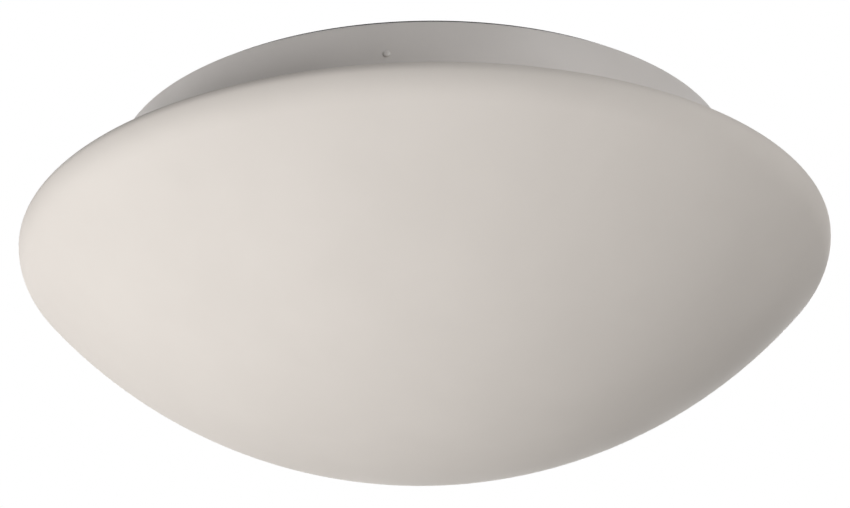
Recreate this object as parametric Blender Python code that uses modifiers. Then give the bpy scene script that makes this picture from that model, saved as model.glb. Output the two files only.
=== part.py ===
"""Round bathroom ceiling light: a pressed steel pan, an opal glass shade on spring clips, and a lamp.

Metres, +Z up. The origin is the centre of the pan's back, in the plane of the ceiling, and the light hangs
towards -Z. The lamp lies level along X, with its holder on the -X side.
"""

import math

import bmesh
import bpy
from mathutils import Matrix, Vector

# Clearances and overruns
SEAT_GAP = 0.0003
SCREW_HOLE_GAP = 0.0004
CUT_OVERRUN = 0.004

# Shading and joining of turned meshes
SHARP_ANGLE = math.radians(35)
MERGE_DISTANCE = 0.00001

# Facet counts
WIDE_STEPS = 48
ROUND_STEPS = 32
SMALL_STEPS = 16
SCREW_STEPS = 12
CORNER_STEPS = 3

# Pan: 0.8 mm pressed steel, with a flat centre, a sunk ring that carries the fittings, and a turned-in lip
PAN_RADIUS = 0.1145
PAN_DEPTH = 0.0222
PAN_SHEET = 0.0008
PAN_EDGE_RADIUS = 0.0010
PAN_LIP_WIDTH = 0.005
PAN_LIP_RADIUS = 0.0014
LAND_RADIUS = 0.042
TROUGH_DEPTH = 0.004
TROUGH_SLOPE_RUN = 0.004
TROUGH_TO_WALL = 0.026
TROUGH_STEP_RUN = 0.003

# Fixing slots in the pan's flat centre
SLOT_WIDTH = 0.0052
SLOT_LENGTH = 0.014
SLOT_INSET = 0.010

# Foam gasket on the pan's back
CEILING_GASKET_HEIGHT = 0.0015
CEILING_GASKET_WIDTH = 0.014
CEILING_GASKET_INSET = 0.0036

# Silicone seal between the pan's lip and the shade
SHADE_SEAL_HEIGHT = 0.0017
SHADE_SEAL_INSET = 0.0005

# Opal glass shade
SHADE_RADIUS = 0.150
SHADE_WALL = 0.003
SHADE_EQUATOR_DROP = 0.038
SHADE_RIM_RADIUS = 0.015
SHADE_DOME_RADIUS = 0.193
SHADE_SHOULDER_RADIUS = 0.005
SHADE_SEAT_REACH = 0.0015
NECK_TO_WALL = 0.012
NECK_HEIGHT = 0.016
NECK_FILLET = 0.002
BEAD_STAND = 0.003
BEAD_HEIGHT = 0.004
BEAD_ROUNDING = 0.0013

# Spring clips and their rivets
CLIP_COUNT = 3
FIRST_CLIP_AZIMUTH = math.radians(264.07)
CLIP_WIDTH = 0.010
CLIP_SHEET = 0.0005
CLIP_TOP_REACH = 0.005
CLIP_BEND_RADIUS = 0.0014
CLIP_BEND_END = -150
CLIP_KNEE_GAP = 0.0006
CLIP_KNEE_DROP = 0.003
CLIP_TIP_STAND = 0.0028
CLIP_TIP_RISE = 0.0037
RIVET_DROP = 0.0125
RIVET_SHANK_RADIUS = 0.0009
RIVET_HEAD_RADIUS = 0.0016
RIVET_HEAD_HEIGHT = 0.0008
RIVET_TAIL_RADIUS = 0.0015
RIVET_TAIL_HEIGHT = 0.0007
RIVET_TAIL_END_SHARE = 0.8

# Lampholder, E27, on its bracket
LAMP_DROP = 0.050
BRACKET_SHEET = 0.0012
BRACKET_WIDTH = 0.028
BRACKET_BEND_RADIUS = 0.002
BRACKET_INSET = 0.008
BRACKET_TAB_LENGTH = 0.026
BRACKET_BELOW_LAMP = 0.015
BRACKET_CORNER = 0.004
BRACKET_SCREW_SPREAD = 0.008
HOLDER_LENGTH = 0.038
HOLDER_WALL = 0.005
HOLDER_BACK_RADIUS = 0.015
HOLDER_BACK_LENGTH = 0.004
HOLDER_ROUNDING = 0.0015
HOLDER_ENTRY_RADIUS = 0.0062
HOLDER_ENTRY_DEPTH = 0.0065
HOLDER_WEB = 0.0035
HOLDER_SCREW_SPREAD = 0.0103
HOLDER_SCREW_DEPTH = 0.006
SHELL_LENGTH = 0.024
SHELL_SHEET = 0.0006
THREAD_GAP = 0.0004
CONTACT_SHEET = 0.0004
CONTACT_WIDTH = 0.006
CONTACT_RISE = 0.0032
CONTACT_FOOT = 0.0075
CONTACT_RAMP = 0.0035
CONTACT_FLAT = 0.0025

# Lamp, A60 on an E27 cap
CAP_RADIUS = 0.0132
CAP_LENGTH = 0.0215
CAP_BACK_RADIUS = 0.0112
CAP_CHAMFER = 0.002
TIP_RADIUS = 0.0046
TIP_HEIGHT = 0.0014
INSULATOR_HEIGHT = 0.0035
INSULATOR_TIP_RADIUS = 0.0058
HOUSING_LENGTH = 0.034
HOUSING_NECK_RADIUS = 0.0142
HOUSING_COLLAR = 0.003
GLOBE_RADIUS = 0.030
GLOBE_SKIRT = 0.010
HOUSING_TOP_INSET = 0.0006

# Screws: head radius, head height and shank radius of each size
M4_SHANK_RADIUS = 0.0019
M4_HEAD_RADIUS = 0.0038
M4_HEAD_HEIGHT = 0.0024
M3_SHANK_RADIUS = 0.0014
M3_HEAD_RADIUS = 0.0028
M3_HEAD_HEIGHT = 0.0018
SCREW_TAIL = 0.0022

# Terminal block, three poles side by side along Y
TERMINAL_LENGTH = 0.017
TERMINAL_PITCH = 0.0086
TERMINAL_POLES = 3
TERMINAL_HEIGHT = 0.014
TERMINAL_BASE = 0.003
TERMINAL_EAR = 0.006
TERMINAL_TOWER_RADIUS = 0.0036
TERMINAL_BORE_RADIUS = 0.0024
TERMINAL_BORE_RISE = 0.0060
TERMINAL_BORE_OF_BRASS = 0.0016
TERMINAL_SCREW_SPREAD = 0.0042
TERMINAL_SCREW_RADIUS = 0.0015
TERMINAL_SCREW_RECESS = 0.0010
TERMINAL_INSERT_INSET = 0.001

# Earth point: ring terminal, washer and screw
EARTH_AZIMUTH = math.radians(139.0)
RING_TERMINAL_RADIUS = 0.0040
RING_TERMINAL_SHEET = 0.0008
RING_TERMINAL_TAIL = 0.0075
RING_TERMINAL_TAIL_WIDTH = 0.0034
WASHER_RADIUS = 0.0045
WASHER_SHEET = 0.0008

# Cable entry and its rubber grommet
ENTRY_AZIMUTH = math.radians(45.0)
GROMMET_BORE_RADIUS = 0.0046
GROMMET_GROOVE_RADIUS = 0.0078
GROMMET_FLANGE_RADIUS = 0.0103
GROMMET_BACK_FLANGE = 0.0016
GROMMET_FRONT_FLANGE = 0.0018
GROMMET_NOSE = 0.003
GROMMET_NOSE_WALL = 0.0014

# Insulated leads
LEAD_RADIUS = 0.0010
LEAD_BED = 0.0006
LEAD_STRAIGHT = 0.004
LEAD_REACH_IN = 0.003
LEAD_SPREAD_AT_HOLDER = 0.0022
LEAD_BRACKET_CLEARANCE = 0.004
LEAD_POINTS = 20
LEAD_BEVEL_STEPS = 2
ROUTE_PIECES = 16
LEAD_MIDDLE_Y_SHARE = 0.72
LEAD_TURN_X_SHARE = 0.94
LEAD_TURN_Y_SHARE = 0.40
LEAD_TURN_Z_SHARE = 0.42
LEAD_DROP_Z_SHARE = 0.80

# Heights and places that follow from the sizes above
EDGE_Z = -(CEILING_GASKET_HEIGHT + SEAT_GAP)
PAN_RIM_Z = EDGE_Z - PAN_DEPTH
FLOOR_Z = -(TROUGH_DEPTH + PAN_SHEET)
TROUGH_INNER_RADIUS = LAND_RADIUS + TROUGH_SLOPE_RUN
TROUGH_OUTER_RADIUS = PAN_RADIUS - TROUGH_TO_WALL
TROUGH_MID_RADIUS = (TROUGH_INNER_RADIUS + TROUGH_OUTER_RADIUS) / 2
SEAT_Z = PAN_RIM_Z - SHADE_SEAL_HEIGHT - 2 * SEAT_GAP
EQUATOR_Z = EDGE_Z - SHADE_EQUATOR_DROP
NECK_RADIUS = PAN_RADIUS - NECK_TO_WALL
NECK_TOP_Z = SEAT_Z + NECK_HEIGHT
BEAD_RADIUS = NECK_RADIUS + BEAD_STAND
BEAD_UNDERSIDE_Z = NECK_TOP_Z - BEAD_HEIGHT
WALL_FLAT_RADIUS = (PAN_RADIUS - PAN_SHEET) * math.cos(math.pi / WIDE_STEPS)
CLIP_BACK_RADIUS = WALL_FLAT_RADIUS - SEAT_GAP - CLIP_SHEET / 2
RIVET_Z = EDGE_Z - RIVET_DROP
LAMP_Z = -LAMP_DROP
BRACKET_X = -(TROUGH_OUTER_RADIUS - BRACKET_INSET)
HOLDER_X = BRACKET_X + BRACKET_SHEET + SEAT_GAP
HOLDER_BORE_FLOOR = HOLDER_ENTRY_DEPTH + HOLDER_WEB
SHELL_INNER_RADIUS = CAP_RADIUS + THREAD_GAP
SHELL_OUTER_RADIUS = SHELL_INNER_RADIUS + SHELL_SHEET
HOLDER_BORE_RADIUS = SHELL_OUTER_RADIUS + SEAT_GAP
HOLDER_RADIUS = HOLDER_BORE_RADIUS + HOLDER_WALL
CONTACT_TOP = HOLDER_BORE_FLOOR + SEAT_GAP + CONTACT_SHEET + CONTACT_RISE
LAMP_TIP_X = HOLDER_X + CONTACT_TOP + SEAT_GAP
TERMINAL_Y = TROUGH_MID_RADIUS
TERMINAL_TOP_Z = FLOOR_Z - SEAT_GAP
TERMINAL_BORE_Z = TERMINAL_TOP_Z - TERMINAL_BORE_RISE
TERMINAL_FACE_Z = TERMINAL_TOP_Z - TERMINAL_HEIGHT
TERMINAL_WIDTH = TERMINAL_POLES * TERMINAL_PITCH + 2 * TERMINAL_EAR

FINISHES = {
    "powder_coat": ((0.80, 0.79, 0.77), 0.55, 0.0),
    "opal_glass": ((0.88, 0.86, 0.83), 0.45, 0.0),
    "foam": ((0.12, 0.12, 0.13), 0.95, 0.0),
    "silicone": ((0.86, 0.86, 0.84), 0.60, 0.0),
    "rubber": ((0.05, 0.05, 0.05), 0.80, 0.0),
    "spring_steel": ((0.55, 0.54, 0.52), 0.35, 1.0),
    "zinc_steel": ((0.62, 0.62, 0.60), 0.40, 1.0),
    "porcelain": ((0.86, 0.85, 0.80), 0.25, 0.0),
    "brass": ((0.80, 0.62, 0.32), 0.35, 1.0),
    "nickel": ((0.66, 0.65, 0.62), 0.30, 1.0),
    "polyamide": ((0.83, 0.82, 0.77), 0.50, 0.0),
    "lamp_white": ((0.85, 0.85, 0.84), 0.40, 0.0),
    "lamp_globe": ((0.90, 0.90, 0.88), 0.50, 0.0),
    "black_glass": ((0.03, 0.03, 0.03), 0.25, 0.0),
    "lead_brown": ((0.20, 0.09, 0.04), 0.50, 0.0),
    "lead_blue": ((0.05, 0.16, 0.50), 0.50, 0.0),
    "lead_green": ((0.20, 0.45, 0.08), 0.50, 0.0),
}


# Scene helpers


def clear_scene():
    """Remove every object and start with two collections, one for the parts and one for the cutters."""
    for thing in list(bpy.data.objects):
        bpy.data.objects.remove(thing)
    parts = bpy.data.collections.new("ceiling_light")
    cutters = bpy.data.collections.new("cutters")
    bpy.context.scene.collection.children.link(parts)
    bpy.context.scene.collection.children.link(cutters)
    return parts, cutters


PARTS, CUTTERS = clear_scene()


def finish_material(key):
    """Return the named finish as a Principled material, made once."""
    found = bpy.data.materials.get(key)
    if found:
        return found
    colour, roughness, metallic = FINISHES[key]
    material = bpy.data.materials.new(key)
    material.use_nodes = True
    shader = material.node_tree.nodes["Principled BSDF"]
    shader.inputs["Base Color"].default_value = (*colour, 1.0)
    shader.inputs["Roughness"].default_value = roughness
    shader.inputs["Metallic"].default_value = metallic
    return material


def add_empty(name, place, parent=None):
    """Add an empty that stands for a moving body's axis."""
    empty = bpy.data.objects.new(name, None)
    PARTS.objects.link(empty)
    empty.parent = parent
    empty.location = Vector(place) - (parent.location if parent else Vector())
    return empty


def add_part(name, mesh, key, place=(0, 0, 0), turn=(0, 0, 0), body=None):
    """Put a mesh in the parts collection under a body's empty, at a place given in the part's own frame."""
    part = bpy.data.objects.new(name, mesh)
    PARTS.objects.link(part)
    mesh.materials.append(finish_material(key))
    part.parent = body
    part.location = Vector(place) - (body_place(body) if body else Vector())
    part.rotation_euler = turn
    return part


def body_place(empty):
    """Add up the places of an empty and of the empties that carry it."""
    place = Vector(empty.location)
    while empty.parent:
        empty = empty.parent
        place += empty.location
    return place


def cut(part, mesh, place=(0, 0, 0), turn=(0, 0, 0)):
    """Cut a part with a hidden cutter, both placed in the part's own frame."""
    cutter = bpy.data.objects.new(f"{part.name}_cutter", mesh)
    CUTTERS.objects.link(cutter)
    cutter.location = place
    cutter.rotation_euler = turn
    cutter.hide_render = True
    cutter.display_type = "WIRE"
    boolean = part.modifiers.new("cut", "BOOLEAN")
    boolean.operation = "DIFFERENCE"
    boolean.solver = "EXACT"
    boolean.object = cutter


# Mesh helpers


def arc(centre, radius, start, end, steps):
    """List the points of an arc in the r, z plane, angles in degrees, both ends included."""
    points = []
    for step in range(steps + 1):
        angle = math.radians(start + (end - start) * step / steps)
        points.append((centre[0] + radius * math.cos(angle), centre[1] + radius * math.sin(angle)))
    return points


def mesh_from(name, fill):
    """Make a mesh with a bmesh filling function and shade it smooth with sharp edges kept."""
    work = bmesh.new()
    fill(work)
    mesh = bpy.data.meshes.new(name)
    work.to_mesh(mesh)
    work.free()
    mesh.shade_smooth()
    mesh.set_sharp_from_angle(angle=SHARP_ANGLE)
    return mesh


def turned_part(name, profile, key, steps, closed=False, sheet=None, **placing):
    """Turn a profile of (r, z) points about local Z. It runs down the outer side, closed or axis to axis.

    With sheet, the profile is an open outer line and the wall lies inside it.
    """
    def fill(work):
        ring = [work.verts.new((r, 0, z)) for r, z in profile]
        for first, second in zip(ring, ring[1:]):
            work.edges.new((first, second))
        if closed:
            work.edges.new((ring[-1], ring[0]))

    part = add_part(name, mesh_from(name, fill), key, **placing)
    screw = part.modifiers.new("turn", "SCREW")
    screw.steps = steps
    screw.render_steps = steps
    screw.use_merge_vertices = True
    screw.merge_threshold = MERGE_DISTANCE
    screw.use_smooth_shade = True
    if sheet:
        wall = part.modifiers.new("wall", "SOLIDIFY")
        wall.thickness = sheet
        wall.offset = -1
        wall.use_even_offset = True
    return part


def cylinder_mesh(name, radius, length):
    """Make a cylinder along local Z, from 0 to its length."""
    def fill(work):
        made = bmesh.ops.create_cone(
            work,
            cap_ends=True,
            segments=SMALL_STEPS,
            radius1=radius,
            radius2=radius,
            depth=length,
            matrix=Matrix.Rotation(math.pi / SMALL_STEPS, 4, "Z"),
        )
        bmesh.ops.translate(work, verts=made["verts"], vec=(0, 0, length / 2))

    return mesh_from(name, fill)


def slot_mesh(name, width, length, depth):
    """Make a round-ended bar along local X, from 0 to its depth along Z."""
    half = length / 2 - width / 2
    end_steps = SMALL_STEPS // 2
    outline = [
        *arc((half, 0), width / 2, -90, 90, end_steps),
        *arc((-half, 0), width / 2, 90, 270, end_steps),
    ]

    def fill(work):
        face = work.faces.new([work.verts.new((x, y, 0)) for x, y in outline])
        made = bmesh.ops.extrude_face_region(work, geom=[face])
        top = [item for item in made["geom"] if isinstance(item, bmesh.types.BMVert)]
        bmesh.ops.translate(work, verts=top, vec=(0, 0, depth))
        bmesh.ops.recalc_face_normals(work, faces=work.faces)

    return mesh_from(name, fill)


def strip_part(name, line, width, sheet, key, corner=None, **placing):
    """Bend a strip along a line of (x, z) points, centred on its sheet, with its width along local Y.

    With corner, the four corners of the flat strip are rounded to that radius.
    """
    def fill(work):
        left = [work.verts.new((x, -width / 2, z)) for x, z in line]
        right = [work.verts.new((x, width / 2, z)) for x, z in line]
        for step in range(len(line) - 1):
            work.faces.new((left[step], left[step + 1], right[step + 1], right[step]))
        if corner:
            ends = [left[0], left[-1], right[0], right[-1]]
            bmesh.ops.bevel(
                work, geom=ends, offset=corner, segments=CORNER_STEPS, profile=0.5, affect="VERTICES"
            )

    part = add_part(name, mesh_from(name, fill), key, **placing)
    wall = part.modifiers.new("sheet", "SOLIDIFY")
    wall.thickness = sheet
    wall.offset = 0
    wall.use_even_offset = True
    return part


def screw_profile(shank_radius, head_radius, head_height, length):
    """Outline a pan-head screw from its tail at z 0 down to the crown of its head."""
    head_z = -length
    crown = arc((head_radius / 2, head_z - head_height / 2), head_height / 2, 0, -90, 2)
    side = [(r + head_radius / 2 - head_height / 2, z) for r, z in crown]
    return [
        (0, 0),
        (shank_radius, 0),
        (shank_radius, head_z),
        (head_radius, head_z),
        *side,
        (0, head_z - head_height),
    ]


def add_screw(name, place, length, m4=True, turn=(0, 0, 0), body=None):
    """Add a screw whose tail is at a place and whose head points along local -Z."""
    sizes = (M4_SHANK_RADIUS, M4_HEAD_RADIUS, M4_HEAD_HEIGHT)
    if not m4:
        sizes = (M3_SHANK_RADIUS, M3_HEAD_RADIUS, M3_HEAD_HEIGHT)
    profile = screw_profile(*sizes, length)
    turned_part(name, profile, "zinc_steel", SCREW_STEPS, place=place, turn=turn, body=body)


def smooth_route(corners, count):
    """Read evenly spaced points from a Catmull-Rom curve through the corners of a lead's route."""
    points = [Vector(corner) for corner in corners]
    chain = [2 * points[0] - points[1], *points, 2 * points[-1] - points[-2]]
    fine = []
    for before, start, end, after in zip(chain, chain[1:], chain[2:], chain[3:]):
        for step in range(ROUTE_PIECES):
            t = step / ROUTE_PIECES
            fine.append(
                0.5 * (2 * start + (end - before) * t
                       + (2 * before - 5 * start + 4 * end - after) * t * t
                       + (3 * start - before - 3 * end + after) * t ** 3)
            )
    fine.append(points[-1])
    lengths = [0.0]
    for first, second in zip(fine, fine[1:]):
        lengths.append(lengths[-1] + (second - first).length)
    even = []
    index = 0
    for number in range(count):
        target = lengths[-1] * number / (count - 1)
        while index < len(fine) - 2 and lengths[index + 1] < target:
            index += 1
        span = lengths[index + 1] - lengths[index]
        even.append(fine[index].lerp(fine[index + 1], (target - lengths[index]) / span))
    return even


def add_lead(name, corners, key, body):
    """Add an insulated lead as a round tube along its route."""
    curve = bpy.data.curves.new(name, "CURVE")
    curve.dimensions = "3D"
    curve.bevel_depth = LEAD_RADIUS
    curve.bevel_resolution = LEAD_BEVEL_STEPS
    curve.use_fill_caps = True
    spline = curve.splines.new("POLY")
    route = smooth_route(corners, LEAD_POINTS)
    spline.points.add(len(route) - 1)
    for point, place in zip(spline.points, route):
        point.co = (*place, 1)
    curve.materials.append(finish_material(key))
    lead = bpy.data.objects.new(name, curve)
    PARTS.objects.link(lead)
    lead.parent = body


def around(radius, azimuth, z):
    """Place a point by its radius and azimuth about the light's axis."""
    return Vector((radius * math.cos(azimuth), radius * math.sin(azimuth), z))


# Places of the fittings in the pan


def clip_azimuths():
    """Spread the spring clips evenly round the pan."""
    return [FIRST_CLIP_AZIMUTH + 2 * math.pi * number / CLIP_COUNT for number in range(CLIP_COUNT)]


def bracket_screw_places():
    """Give the two screws that hold the bracket's tab to the pan."""
    x = BRACKET_X + BRACKET_SHEET + BRACKET_TAB_LENGTH / 2
    return [Vector((x, side * BRACKET_SCREW_SPREAD, FLOOR_Z)) for side in (-1, 1)]


def terminal_ear_places():
    """Give the two screws that hold the terminal block's ears to the pan."""
    reach = TERMINAL_WIDTH / 2 - TERMINAL_EAR / 2
    return [Vector((0, TERMINAL_Y + side * reach, FLOOR_Z)) for side in (-1, 1)]


def terminal_pole_ys():
    """Give the Y of each pole of the terminal block."""
    middle = (TERMINAL_POLES - 1) / 2
    return [TERMINAL_Y + (pole - middle) * TERMINAL_PITCH for pole in range(TERMINAL_POLES)]


def slot_places():
    """Give the centres of the two fixing slots."""
    return [Vector((0, side * (LAND_RADIUS - SLOT_INSET), 0)) for side in (-1, 1)]


# Pan and what is fixed to it


def build_pan(body):
    """Press the pan and pierce its slots, cable entry and fixing holes."""
    edge = arc(
        (PAN_RADIUS - PAN_EDGE_RADIUS, EDGE_Z - PAN_EDGE_RADIUS), PAN_EDGE_RADIUS, 90, 0, 3
    )
    lip = arc((PAN_RADIUS - PAN_LIP_RADIUS, PAN_RIM_Z + PAN_LIP_RADIUS), PAN_LIP_RADIUS, 0, -90, 2)
    profile = [
        (0, 0),
        (LAND_RADIUS, 0),
        (TROUGH_INNER_RADIUS, -TROUGH_DEPTH),
        (TROUGH_OUTER_RADIUS, -TROUGH_DEPTH),
        (TROUGH_OUTER_RADIUS + TROUGH_STEP_RUN, EDGE_Z),
        *edge,
        *lip,
        (PAN_RADIUS - PAN_LIP_WIDTH, PAN_RIM_Z),
    ]
    pan = turned_part("base_pan", profile, "powder_coat", WIDE_STEPS, sheet=PAN_SHEET, body=body)

    through = TROUGH_DEPTH + PAN_SHEET + 2 * CUT_OVERRUN
    low = FLOOR_Z - CUT_OVERRUN
    for place in slot_places():
        slot = slot_mesh("fixing_slot", SLOT_WIDTH, SLOT_LENGTH, through)
        cut(pan, slot, (place.x, place.y, low))
    holes = [
        (around(TROUGH_MID_RADIUS, ENTRY_AZIMUTH, low), GROMMET_GROOVE_RADIUS + SEAT_GAP),
        (around(TROUGH_MID_RADIUS, EARTH_AZIMUTH, low), M4_SHANK_RADIUS + SCREW_HOLE_GAP),
    ]
    for place in bracket_screw_places():
        holes.append(((place.x, place.y, low), M4_SHANK_RADIUS + SCREW_HOLE_GAP))
    for place in terminal_ear_places():
        holes.append(((place.x, place.y, low), M3_SHANK_RADIUS + SCREW_HOLE_GAP))
    for place, radius in holes:
        cut(pan, cylinder_mesh("hole", radius, through), place)
    for azimuth in clip_azimuths():
        hole = cylinder_mesh("rivet_hole", RIVET_SHANK_RADIUS + SEAT_GAP, 2 * CUT_OVERRUN)
        start = around(PAN_RADIUS - CUT_OVERRUN, azimuth, RIVET_Z)
        cut(pan, hole, start, (0, math.pi / 2, azimuth))


def build_ceiling_gasket(body):
    """Lay the foam gasket on the pan's outer land, flush with the ceiling."""
    outer = PAN_RADIUS - CEILING_GASKET_INSET
    inner = outer - CEILING_GASKET_WIDTH
    low = -CEILING_GASKET_HEIGHT
    ring = [(outer, 0), (outer, low), (inner, low), (inner, 0)]
    turned_part("ceiling_gasket", ring, "foam", WIDE_STEPS, closed=True, body=body)


def build_grommet(body):
    """Fit the rubber grommet into the cable entry, its groove round the pan's sheet."""
    back_low = -TROUGH_DEPTH + SEAT_GAP
    front_top = FLOOR_Z - SEAT_GAP
    front_low = front_top - GROMMET_FRONT_FLANGE
    nose = GROMMET_BORE_RADIUS + GROMMET_NOSE_WALL
    ring = [
        (GROMMET_BORE_RADIUS, back_low + GROMMET_BACK_FLANGE),
        (GROMMET_FLANGE_RADIUS, back_low + GROMMET_BACK_FLANGE),
        (GROMMET_FLANGE_RADIUS, back_low),
        (GROMMET_GROOVE_RADIUS, back_low),
        (GROMMET_GROOVE_RADIUS, front_top),
        (GROMMET_FLANGE_RADIUS, front_top),
        (GROMMET_FLANGE_RADIUS, front_low),
        (nose, front_low - GROMMET_NOSE),
        (GROMMET_BORE_RADIUS, front_low - GROMMET_NOSE),
    ]
    place = around(TROUGH_MID_RADIUS, ENTRY_AZIMUTH, 0)
    turned_part("cable_grommet", ring, "rubber", SMALL_STEPS, closed=True, place=place, body=body)


def clip_line():
    """Trace a clip's sheet in the r, z plane: down the wall, in to the knee and out past the bead."""
    bend_z = PAN_RIM_Z + PAN_SHEET + SEAT_GAP + CLIP_SHEET / 2 + CLIP_BEND_RADIUS
    bend = arc((CLIP_BACK_RADIUS - CLIP_BEND_RADIUS, bend_z), CLIP_BEND_RADIUS, 0, CLIP_BEND_END, 4)
    return [
        (CLIP_BACK_RADIUS, RIVET_Z + CLIP_TOP_REACH),
        *bend,
        (NECK_RADIUS + CLIP_KNEE_GAP + CLIP_SHEET / 2, BEAD_UNDERSIDE_Z - CLIP_KNEE_DROP),
        (BEAD_RADIUS + CLIP_TIP_STAND, BEAD_UNDERSIDE_Z + CLIP_TIP_RISE),
    ]


def build_clips(body):
    """Rivet the spring clips to the inside of the pan's wall."""
    head = arc((0, 0), 1, 0, 90, 3)
    grip = PAN_RADIUS + SEAT_GAP - (CLIP_BACK_RADIUS - CLIP_SHEET / 2 - SEAT_GAP)
    rivet = [
        *[(RIVET_HEAD_RADIUS * r, RIVET_HEAD_HEIGHT * z) for r, z in reversed(head)],
        (RIVET_SHANK_RADIUS, 0),
        (RIVET_SHANK_RADIUS, -grip),
        (RIVET_TAIL_RADIUS, -grip),
        (RIVET_TAIL_RADIUS * RIVET_TAIL_END_SHARE, -grip - RIVET_TAIL_HEIGHT),
        (0, -grip - RIVET_TAIL_HEIGHT),
    ]
    for number, azimuth in enumerate(clip_azimuths(), 1):
        clip = strip_part(
            f"shade_clip_{number}", clip_line(), CLIP_WIDTH, CLIP_SHEET, "spring_steel",
            turn=(0, 0, azimuth), body=body,
        )
        hole = cylinder_mesh("rivet_hole", RIVET_SHANK_RADIUS + SEAT_GAP, 2 * CUT_OVERRUN)
        start = around(CLIP_BACK_RADIUS - CUT_OVERRUN / 2, azimuth, RIVET_Z)
        cut(clip, hole, start, (0, math.pi / 2, azimuth))
        place = around(PAN_RADIUS + SEAT_GAP, azimuth, RIVET_Z)
        turned_part(
            f"clip_rivet_{number}", rivet, "powder_coat", SCREW_STEPS,
            place=place, turn=(0, math.pi / 2, azimuth), body=body,
        )


def build_bracket(body):
    """Fold the lampholder's bracket: a tab on the pan's floor and an upright plate."""
    half = BRACKET_SHEET / 2
    tab_z = FLOOR_Z - SEAT_GAP - half
    plate_x = BRACKET_X + half
    bend_centre = (plate_x + BRACKET_BEND_RADIUS, tab_z - BRACKET_BEND_RADIUS)
    line = [
        (BRACKET_X + BRACKET_SHEET + BRACKET_TAB_LENGTH, tab_z),
        *arc(bend_centre, BRACKET_BEND_RADIUS, 90, 180, 3),
        (plate_x, LAMP_Z - BRACKET_BELOW_LAMP),
    ]
    bracket = strip_part(
        "lampholder_bracket", line, BRACKET_WIDTH, BRACKET_SHEET, "zinc_steel",
        corner=BRACKET_CORNER, body=body,
    )
    for place in bracket_screw_places():
        hole = cylinder_mesh("hole", M4_SHANK_RADIUS + SCREW_HOLE_GAP, 2 * CUT_OVERRUN)
        cut(bracket, hole, (place.x, place.y, FLOOR_Z - CUT_OVERRUN))
    across = (0, math.pi / 2, 0)
    start_x = BRACKET_X - CUT_OVERRUN
    entry = cylinder_mesh("entry", HOLDER_ENTRY_RADIUS, 2 * CUT_OVERRUN)
    cut(bracket, entry, (start_x, 0, LAMP_Z), across)
    for side in (-1, 1):
        hole = cylinder_mesh("hole", M3_SHANK_RADIUS + SCREW_HOLE_GAP, 2 * CUT_OVERRUN)
        cut(bracket, hole, (start_x, side * HOLDER_SCREW_SPREAD, LAMP_Z), across)
    length = BRACKET_SHEET + 2 * SEAT_GAP + PAN_SHEET + SCREW_TAIL
    for number, place in enumerate(bracket_screw_places(), 1):
        tail = Vector((place.x, place.y, -TROUGH_DEPTH + SCREW_TAIL))
        add_screw(f"bracket_screw_{number}", tail, length, body=body)


def build_lampholder(body):
    """Stand the porcelain lampholder on its bracket, with its screws, threaded shell and spring contact."""
    along = (0, math.pi / 2, 0)
    place = (HOLDER_X, 0, LAMP_Z)
    profile = [
        (0, HOLDER_BORE_FLOOR),
        (HOLDER_BORE_RADIUS, HOLDER_BORE_FLOOR),
        (HOLDER_BORE_RADIUS, HOLDER_LENGTH),
        *arc((HOLDER_RADIUS - HOLDER_ROUNDING, HOLDER_LENGTH - HOLDER_ROUNDING), HOLDER_ROUNDING, 90, 0, 3),
        (HOLDER_RADIUS, HOLDER_BORE_FLOOR),
        (HOLDER_BACK_RADIUS, HOLDER_BACK_LENGTH),
        *arc((HOLDER_BACK_RADIUS - HOLDER_ROUNDING, HOLDER_ROUNDING), HOLDER_ROUNDING, 0, -90, 2),
        (HOLDER_ENTRY_RADIUS, 0),
        (HOLDER_ENTRY_RADIUS, HOLDER_ENTRY_DEPTH),
        (0, HOLDER_ENTRY_DEPTH),
    ]
    holder = turned_part(
        "lampholder_body", profile, "porcelain", ROUND_STEPS, place=place, turn=along, body=body
    )
    for side in (-1, 1):
        hole = cylinder_mesh(
            "hole", M3_SHANK_RADIUS + SCREW_HOLE_GAP, HOLDER_SCREW_DEPTH + CUT_OVERRUN
        )
        cut(holder, hole, (HOLDER_X - CUT_OVERRUN, side * HOLDER_SCREW_SPREAD, LAMP_Z), along)

    length = BRACKET_SHEET + 2 * SEAT_GAP + HOLDER_SCREW_DEPTH - SCREW_HOLE_GAP
    for number, side in enumerate((-1, 1), 1):
        tail = (BRACKET_X - SEAT_GAP + length, side * HOLDER_SCREW_SPREAD, LAMP_Z)
        add_screw(f"holder_screw_{number}", tail, length, m4=False, turn=along, body=body)

    low = HOLDER_BORE_FLOOR + SEAT_GAP
    high = low + SHELL_LENGTH
    shell = [
        (SHELL_INNER_RADIUS, high),
        (SHELL_OUTER_RADIUS, high),
        (SHELL_OUTER_RADIUS, low),
        (SHELL_INNER_RADIUS, low),
    ]
    turned_part(
        "lampholder_shell", shell, "brass", ROUND_STEPS, closed=True,
        place=place, turn=along, body=body,
    )

    foot_z = low + CONTACT_SHEET / 2
    top_z = foot_z + CONTACT_RISE
    foot_end = -CONTACT_FLAT / 2 - CONTACT_RAMP
    line = [
        (foot_end - CONTACT_FOOT + CONTACT_RAMP, foot_z),
        (foot_end, foot_z),
        (-CONTACT_FLAT / 2, top_z),
        (CONTACT_FLAT, top_z),
        (CONTACT_FLAT + CONTACT_RAMP / 2, top_z - CONTACT_RISE / 3),
    ]
    strip_part(
        "lampholder_contact", line, CONTACT_WIDTH, CONTACT_SHEET, "brass",
        place=place, turn=along, body=body,
    )


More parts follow.
